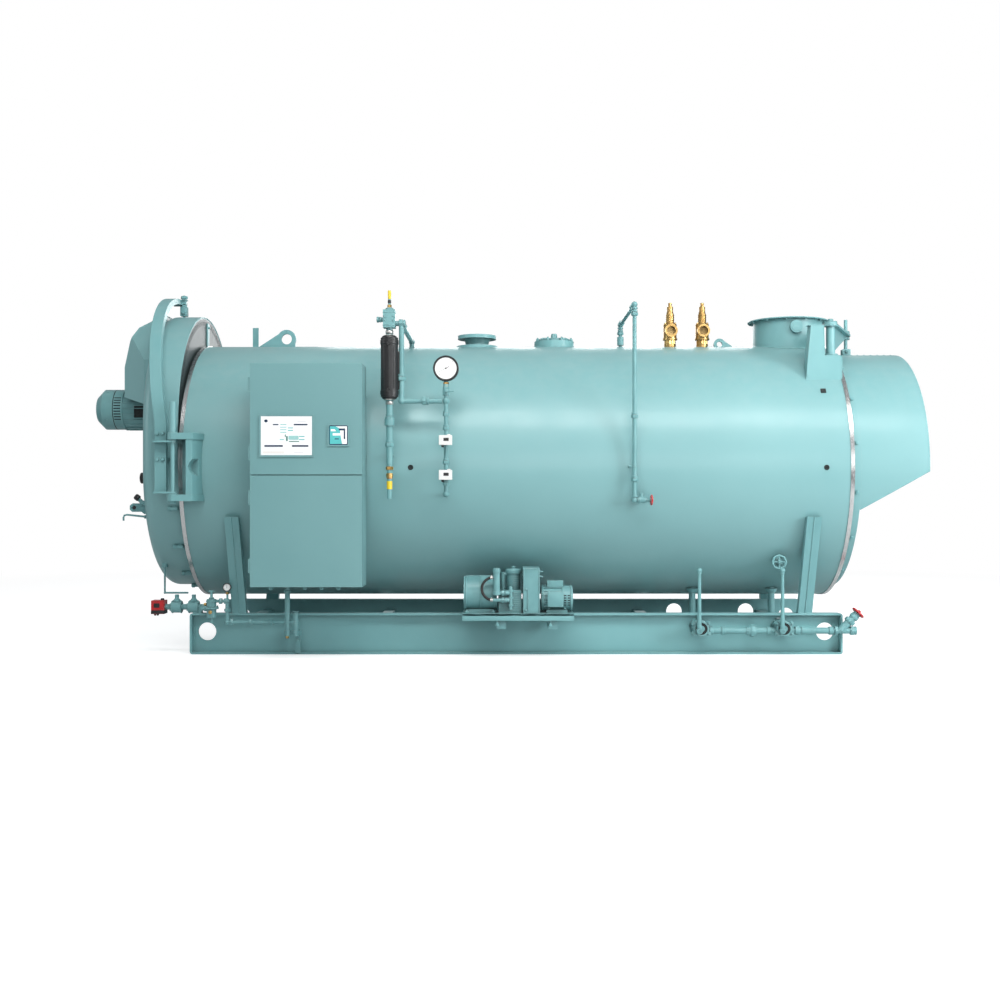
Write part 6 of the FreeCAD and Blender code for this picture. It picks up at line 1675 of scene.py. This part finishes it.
    # motor: ribs, fan cowl with slots, terminal box on the near side
    low, high = boxOf("compressor_motor")
    z, radius = 0.396, 0.084
    bm, dark = newMeshes(2)
    for index in range(compressorTrim["motorRibs"]):
        turn = 2 * pi * index / compressorTrim["motorRibs"]
        if sin(turn) < -0.72:
            continue
        way = Vector((0, cos(turn), sin(turn)))
        place = tilted(Vector((0.24, y, z)) + way * (radius + 0.002), turn - pi / 2, "X")
        addBlock(bm, (0.12, 0.004, 0.009), place, 0.0012)
    for x in (0.172, 0.306, 0.362):
        addRing(bm, (x, y, z), radius + 0.001, 0.0045, alongX, 56, 8)
    turnAt(bm, [(0, 0.0), (0.03, 0.0), (0.033, -0.004), (0.062, -0.004)], (high.x + 0.0035, y, z), alongX, 36)
    for ring in (0.045, 0.058, 0.07):
        addRing(bm, (high.x + 0.0005, y, z), ring, 0.0022, alongX, 40, 8)
    box = Vector((0.256, y - radius - 0.014, z + 0.002))
    addBlock(bm, (0.098, 0.034, 0.096), placeAt(box), 0.004)
    addBlock(bm, (0.104, 0.004, 0.102), placeAt(box + Vector((0, -0.016, 0))), 0.0015)
    for sideX in (-1, 1):
        for sideZ in (-1, 1):
            addCap(bm, 0.004, 0.0028, (0.001, 0.0024, 0.0026), box + Vector((sideX * 0.044, -0.018, sideZ * 0.043)),
                toViewer, 12)
    # painted shade in the cowl slots
    for column in (0.322, 0.346):
        for row in range(5):
            turn = radians(-28 + row * 11)
            way = Vector((0, -cos(turn), sin(turn)))
            place = tilted(Vector((column, y, z)) + way * (radius + 0.0004), atan2(way.z, way.y) - pi / 2, "X")
            addBlock(dark, (0.016, 0.0065, 0.003), place, 0.001)
    for side in (-0.06, 0.06):
        for x in (0.215, 0.32):
            addBolt(bm, 0.014, (x, y + side, 0.3285), up, 0.013)
    makePiece("motorTrim", bm, "tealFitting")
    makePiece("motorSlots", dark, "darkHollow")

    # base: folded near edge, levelling bolts hanging below it
    low, high = boxOf("compressor_base")
    bm = bmesh.new()
    addBlock(bm, (high.x - low.x - 0.002, 0.006, 0.046), placeAt(((low.x + high.x) / 2, low.y + 0.003, 0.281)),
        0.0015)
    for x in (-0.128, 0.222):
        addTube(bm, [(x, low.y + 0.02, 0.292), (x, low.y + 0.02, 0.228)], 0.0065, 12)
        addHex(bm, 0.022, 0.01, (x, low.y + 0.02, 0.262), up)
        turnAt(bm, [(0, 0), (0.01, 0), (0.011, 0.003), (0.011, 0.014), (0.0065, 0.018)], (x, low.y + 0.02, 0.222), up,
            20)
    makePiece("baseTrim", bm, "tealPlate")


makeCompressorTrim()


# the short hose bows from the separator's side down to the foot link
hoseLine = {
    "points": ((-0.155, -0.928, 0.542), (-0.1857, -0.928, 0.542), (-0.229, -0.928, 0.4987),
               (-0.229, -0.928, 0.4373), (-0.1857, -0.928, 0.394), (-0.155, -0.928, 0.394)),
    "radius": 0.009,
}


def makeHose():
    curve = bpy.data.curves.new("airHoseLine", "CURVE")
    curve.dimensions = "3D"
    curve.bevel_depth = hoseLine["radius"]
    curve.bevel_resolution = 6
    curve.use_fill_caps = True
    spline = curve.splines.new("NURBS")
    spline.points.add(len(hoseLine["points"]) - 1)
    for point, place in zip(spline.points, hoseLine["points"]):
        point.co = (*place, 1)
    spline.order_u = 3
    spline.use_endpoint_u = True
    spline.resolution_u = 16
    hose = bpy.data.objects.new("airHoseTube", curve)
    scene.collection.objects.link(hose)
    curve.materials.append(materials["blackRubber"])
    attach(hose, "boiler")
    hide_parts("air_hose")
    clamps = bmesh.new()
    for z in (0.542, 0.394):
        addCollar(clamps, 0.0088, 0.0115, 0.018, 0.001, (-0.156, -0.928, z), (-1, 0, 0), 20)
        addHex(clamps, 0.008, 0.006, (-0.166, -0.928, z + 0.011), up)
    makePiece("hoseClamps", clamps, "zincSteel")


makeHose()
print("compressor made")


# gas train: actuator case, valve bonnets, regulator cap and handle, dial, brass plugs
def makeGasTrim():
    low, high = boxOf("gas_actuator")
    middle = (low + high) / 2
    black = bmesh.new()
    addBlock(black, (high.x - low.x + 0.003, high.y - low.y + 0.003, 0.026),
        placeAt((middle.x, middle.y, low.z + 0.0135)), 0.004)
    addPlate(black, roundedBox(0.04, 0.03, 0.004), 0.0012, placeAt((middle.x - 0.006, low.y - 0.0002,
        middle.z + 0.012), toViewer))
    turnAt(black, [(0, 0), (0.012, 0), (0.012, 0.01), (0.009, 0.013), (0, 0.013)],
        (middle.x + 0.022, middle.y, high.z), up, 20)
    for x in (middle.x - 0.028, middle.x - 0.01):
        addCap(black, 0.008, 0.005, (0.01, 0.014, 0.014), (x, middle.y, low.z), (0, 0, -1), 16)
    makePiece("actuatorBase", black, "blackPlastic")
    red = bmesh.new()
    path = [(middle.x + x, low.y - 0.0008, middle.z + 0.014 + z) for x, z in roundedBox(0.08, 0.056, 0.006)]
    addTube(red, path, 0.0018, 8, True)
    for x in (-0.034, 0.034):
        addCap(red, 0.004, 0.0028, (0.001, 0.0022, 0.0024), (middle.x + x, low.y, middle.z + 0.036), toViewer, 12)
    makePiece("actuatorTrim", red, "redEnamel")

    y, z = -0.608, 0.322
    bm = bmesh.new()
    for share in (0.3, 0.75):
        x = -2.395 + 0.257 * share
        turnAt(bm, [(0.0142, 0), (0.024, 0), (0.026, 0.003), (0.026, 0.01), (0.018, 0.018), (0.0142, 0.024)],
            (x, y, z + 0.036), up, 24)
        addHex(bm, 0.026, 0.012, (x, y, z + 0.072), up)
        for side in (-1, 1):
            turnAt(bm, [(0.0195, 0), (0.043, 0.001), (0.044, 0.004), (0.044, 0.009), (0.0195, 0.01)],
                (x + side * 0.03 - 0.005, y, z), alongX, 8)
        for turn in (45, 135, 225, 315):
            way = Vector((0, cos(radians(turn)), sin(radians(turn))))
            addBolt(bm, 0.009, Vector((x - 0.036, y, z)) + way * 0.03, (-1, 0, 0), 0.01)
    x, y = -2.051, -0.74
    turnAt(bm, [(0.0325, 0), (0.046, 0.001), (0.048, 0.004), (0.048, 0.01), (0.046, 0.013), (0.0325, 0.014)],
        (x, y, 0.318), up, 36)
    for index in range(6):
        turn = pi * (index + 0.5) / 3
        addBolt(bm, 0.009, (x + 0.041 * cos(turn), y + 0.041 * sin(turn), 0.332), up, 0.01)
    addCollar(bm, 0.0325, 0.036, 0.01, 0.001, (x, y, 0.366), up, 32)
    addCollar(bm, 0.0095, 0.018, 0.01, 0.001, (x, y, 0.386), up, 6)
    addTube(bm, [(x - 0.024, y, 0.436), (x, y, 0.44), (x + 0.024, y, 0.436)], [0.004, 0.006, 0.004], 10)
    for centre, way in (((-2.1, y, z), alongX), ((-2.0, y, 0.372), alongX), ((-1.966, y, 0.372), alongX),
            ((-1.944, y, 0.3), up), ((-1.8, y, 0.231), alongX), ((-1.66, y, 0.231), alongX),
            ((-1.925, y, 0.231), alongX), ((-1.512, y, 0.231), alongX)):
        turnAt(bm, [(0.0136, 0), (0.02, 0.001), (0.0215, 0.004), (0.0215, 0.018), (0.02, 0.021), (0.0136, 0.022)],
            centre, way, 6)
    for x2 in (-1.54, -1.486):
        for height in (0.16, 0.222, 0.285):
            addCollar(bm, 0.0176, 0.0235, 0.016, 0.001, (x2, y, height), up, 8)
    turnAt(bm, [(0, 0), (0.021, 0), (0.0235, 0.003), (0.0235, 0.016), (0.0176, 0.018)], (-1.486, y, 0.288), up, 8)
    turnAt(bm, [(0.0176, 0), (0.022, 0.001), (0.022, 0.012), (0.012, 0.02), (0, 0.022)], (-1.54, y, 0.43), up, 20)
    addBolt(bm, 0.016, (-1.486, -0.6435, 0.1), toViewer)
    makePiece("gasFittings", bm, "tealFitting")

    brass = bmesh.new()
    turnAt(brass, [(0, 0.01), (0.008, 0.01), (0.013, 0.008), (0.013, 0.0)], (-2.051, y - 0.0325, 0.3), toViewer, 6)
    turnAt(brass, [(0, 0.018), (0.007, 0.018), (0.0115, 0.012), (0.0115, 0.0)], (-2.085, y, 0.35), (-1, 0, 0), 6)
    turnAt(brass, [(0, 0.018), (0.009, 0.018), (0.0125, 0.012), (0.0125, 0.0)], (-1.5415, y, 0.139), (0, 0, -1), 6)
    addCollar(brass, 0.0072, 0.012, 0.014, 0.001, (-1.944, y, 0.418), up, 6)
    makePiece("gasBrass", brass, "castBrass")

    x, z, radius = -1.944, 0.466, 0.027
    front = -0.74 - 0.016
    flat = placeAt((x, front, z), toViewer)
    dial = bmesh.new()
    addTurned(dial, [(0, 0.0006), (0.0235, 0.0006), (0.0235, 0.0)], flat, 40, 0)
    for tick in range(11):
        turn = radians(225 - 27 * tick)
        way = Vector((cos(turn), sin(turn), 0))
        wide = Vector((-way.y, way.x, 0)) * 0.0006
        corners = [way * 0.017 - wide, way * 0.0215 - wide, way * 0.0215 + wide, way * 0.017 + wide]
        addPlate(dial, [(corner.x, corner.y) for corner in corners], 0.0003,
            flat @ Matrix.Translation((0, 0, 0.0007)), 1)
    addPlate(dial, [(-0.001, -0.006), (0.001, -0.006), (0.0004, 0.017), (-0.0004, 0.017)], 0.0005,
        flat @ Matrix.Translation((0, 0, 0.0011)), 1)
    makePiece("gasDial", dial, ["dialWhite", "blackPlastic"])
    rim = bmesh.new()
    addTurned(rim, [(0.0232, 0.0), (0.0232, 0.0025), (0.0265, 0.0035), (radius + 0.0012, 0.001),
        (radius + 0.0012, -0.01), (radius, -0.011)], flat, 40)
    makePiece("gasDialRim", rim, "blackPlastic")


makeGasTrim()


# skid: weld beads of cross members, leg caps and gusset lines
def makeSkidTrim():
    bm = bmesh.new()
    for index in range(5):
        x = (index - 2) * 0.96
        for side in (-1, 1):
            for edge in (-0.041, 0.041):
                addTube(bm, [(x + edge, side * 0.5668, 0.004 + 0.019 * step) for step in range(11)],
                    [0.0055 + 0.0012 * sin(step * 2.1) for step in range(11)], 8)
    for node, x in (("front_legs", -1.887), ("rear_legs", 1.97)):
        corners = [vertex.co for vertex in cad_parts[node].data.vertices]
        for side in (-1, 1):
            own = [corner for corner in corners if corner.y * side > 0]
            foot = max((corner for corner in own if corner.z < 0.3), key=lambda corner: corner.y * side)
            head = max((corner for corner in own if corner.z > 0.9), key=lambda corner: corner.y * side)
            addTube(bm, [(x, foot.y + side * 0.0012, foot.z), (x, head.y + side * 0.0012, head.z)], 0.0035, 8)
            addTube(bm, [(x - 0.046 + 0.0115 * step, foot.y - side * 0.002, foot.z + 0.002) for step in range(9)],
                0.005, 8)
    makePiece("skidWelds", bm, "tealPlate")


makeSkidTrim()


# tube ends and their beads on the two tube sheets, seen when the head or the rear door is open
tubeField = {"pitch": 0.095, "tubeRadius": 0.0365, "fieldRadius": 0.775, "furnaceClear": 0.375, "furnaceDrop": 0.25}


def makeTubeEnds():
    for name, node, way in (("tubeEndsFront", "front_tube_sheet", -1), ("tubeEndsRear", "rear_tube_sheet", 1)):
        low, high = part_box(node)
        x = low[0] if way < 0 else high[0]
        bm, dark = newMeshes(2)
        pitch = tubeField["pitch"]
        for row in range(-9, 10):
            z = row * pitch * 0.866
            for column in range(-9, 10):
                y = (column + 0.5 * (row % 2)) * pitch
                if hypot(y, z) > tubeField["fieldRadius"]:
                    continue
                if hypot(y, z + tubeField["furnaceDrop"]) < tubeField["furnaceClear"]:
                    continue
                radius = tubeField["tubeRadius"]
                place = placeAt((x, y, axisZ + z), (way, 0, 0))
                addTurned(bm, [(radius + 0.002, 0), (radius, 0.004), (radius - 0.004, 0.005),
                    (radius - 0.005, 0.001)], place, 20)
                # dark discs: painted shade down each tube bore
                addTurned(dark, [(0, 0.0008), (radius - 0.0045, 0.0008)], place, 20)
        makePiece(name, bm, "bareSteel")
        makePiece(name + "Bores", dark, "darkHollow")


makeTubeEnds()
print("skid and tube ends made")
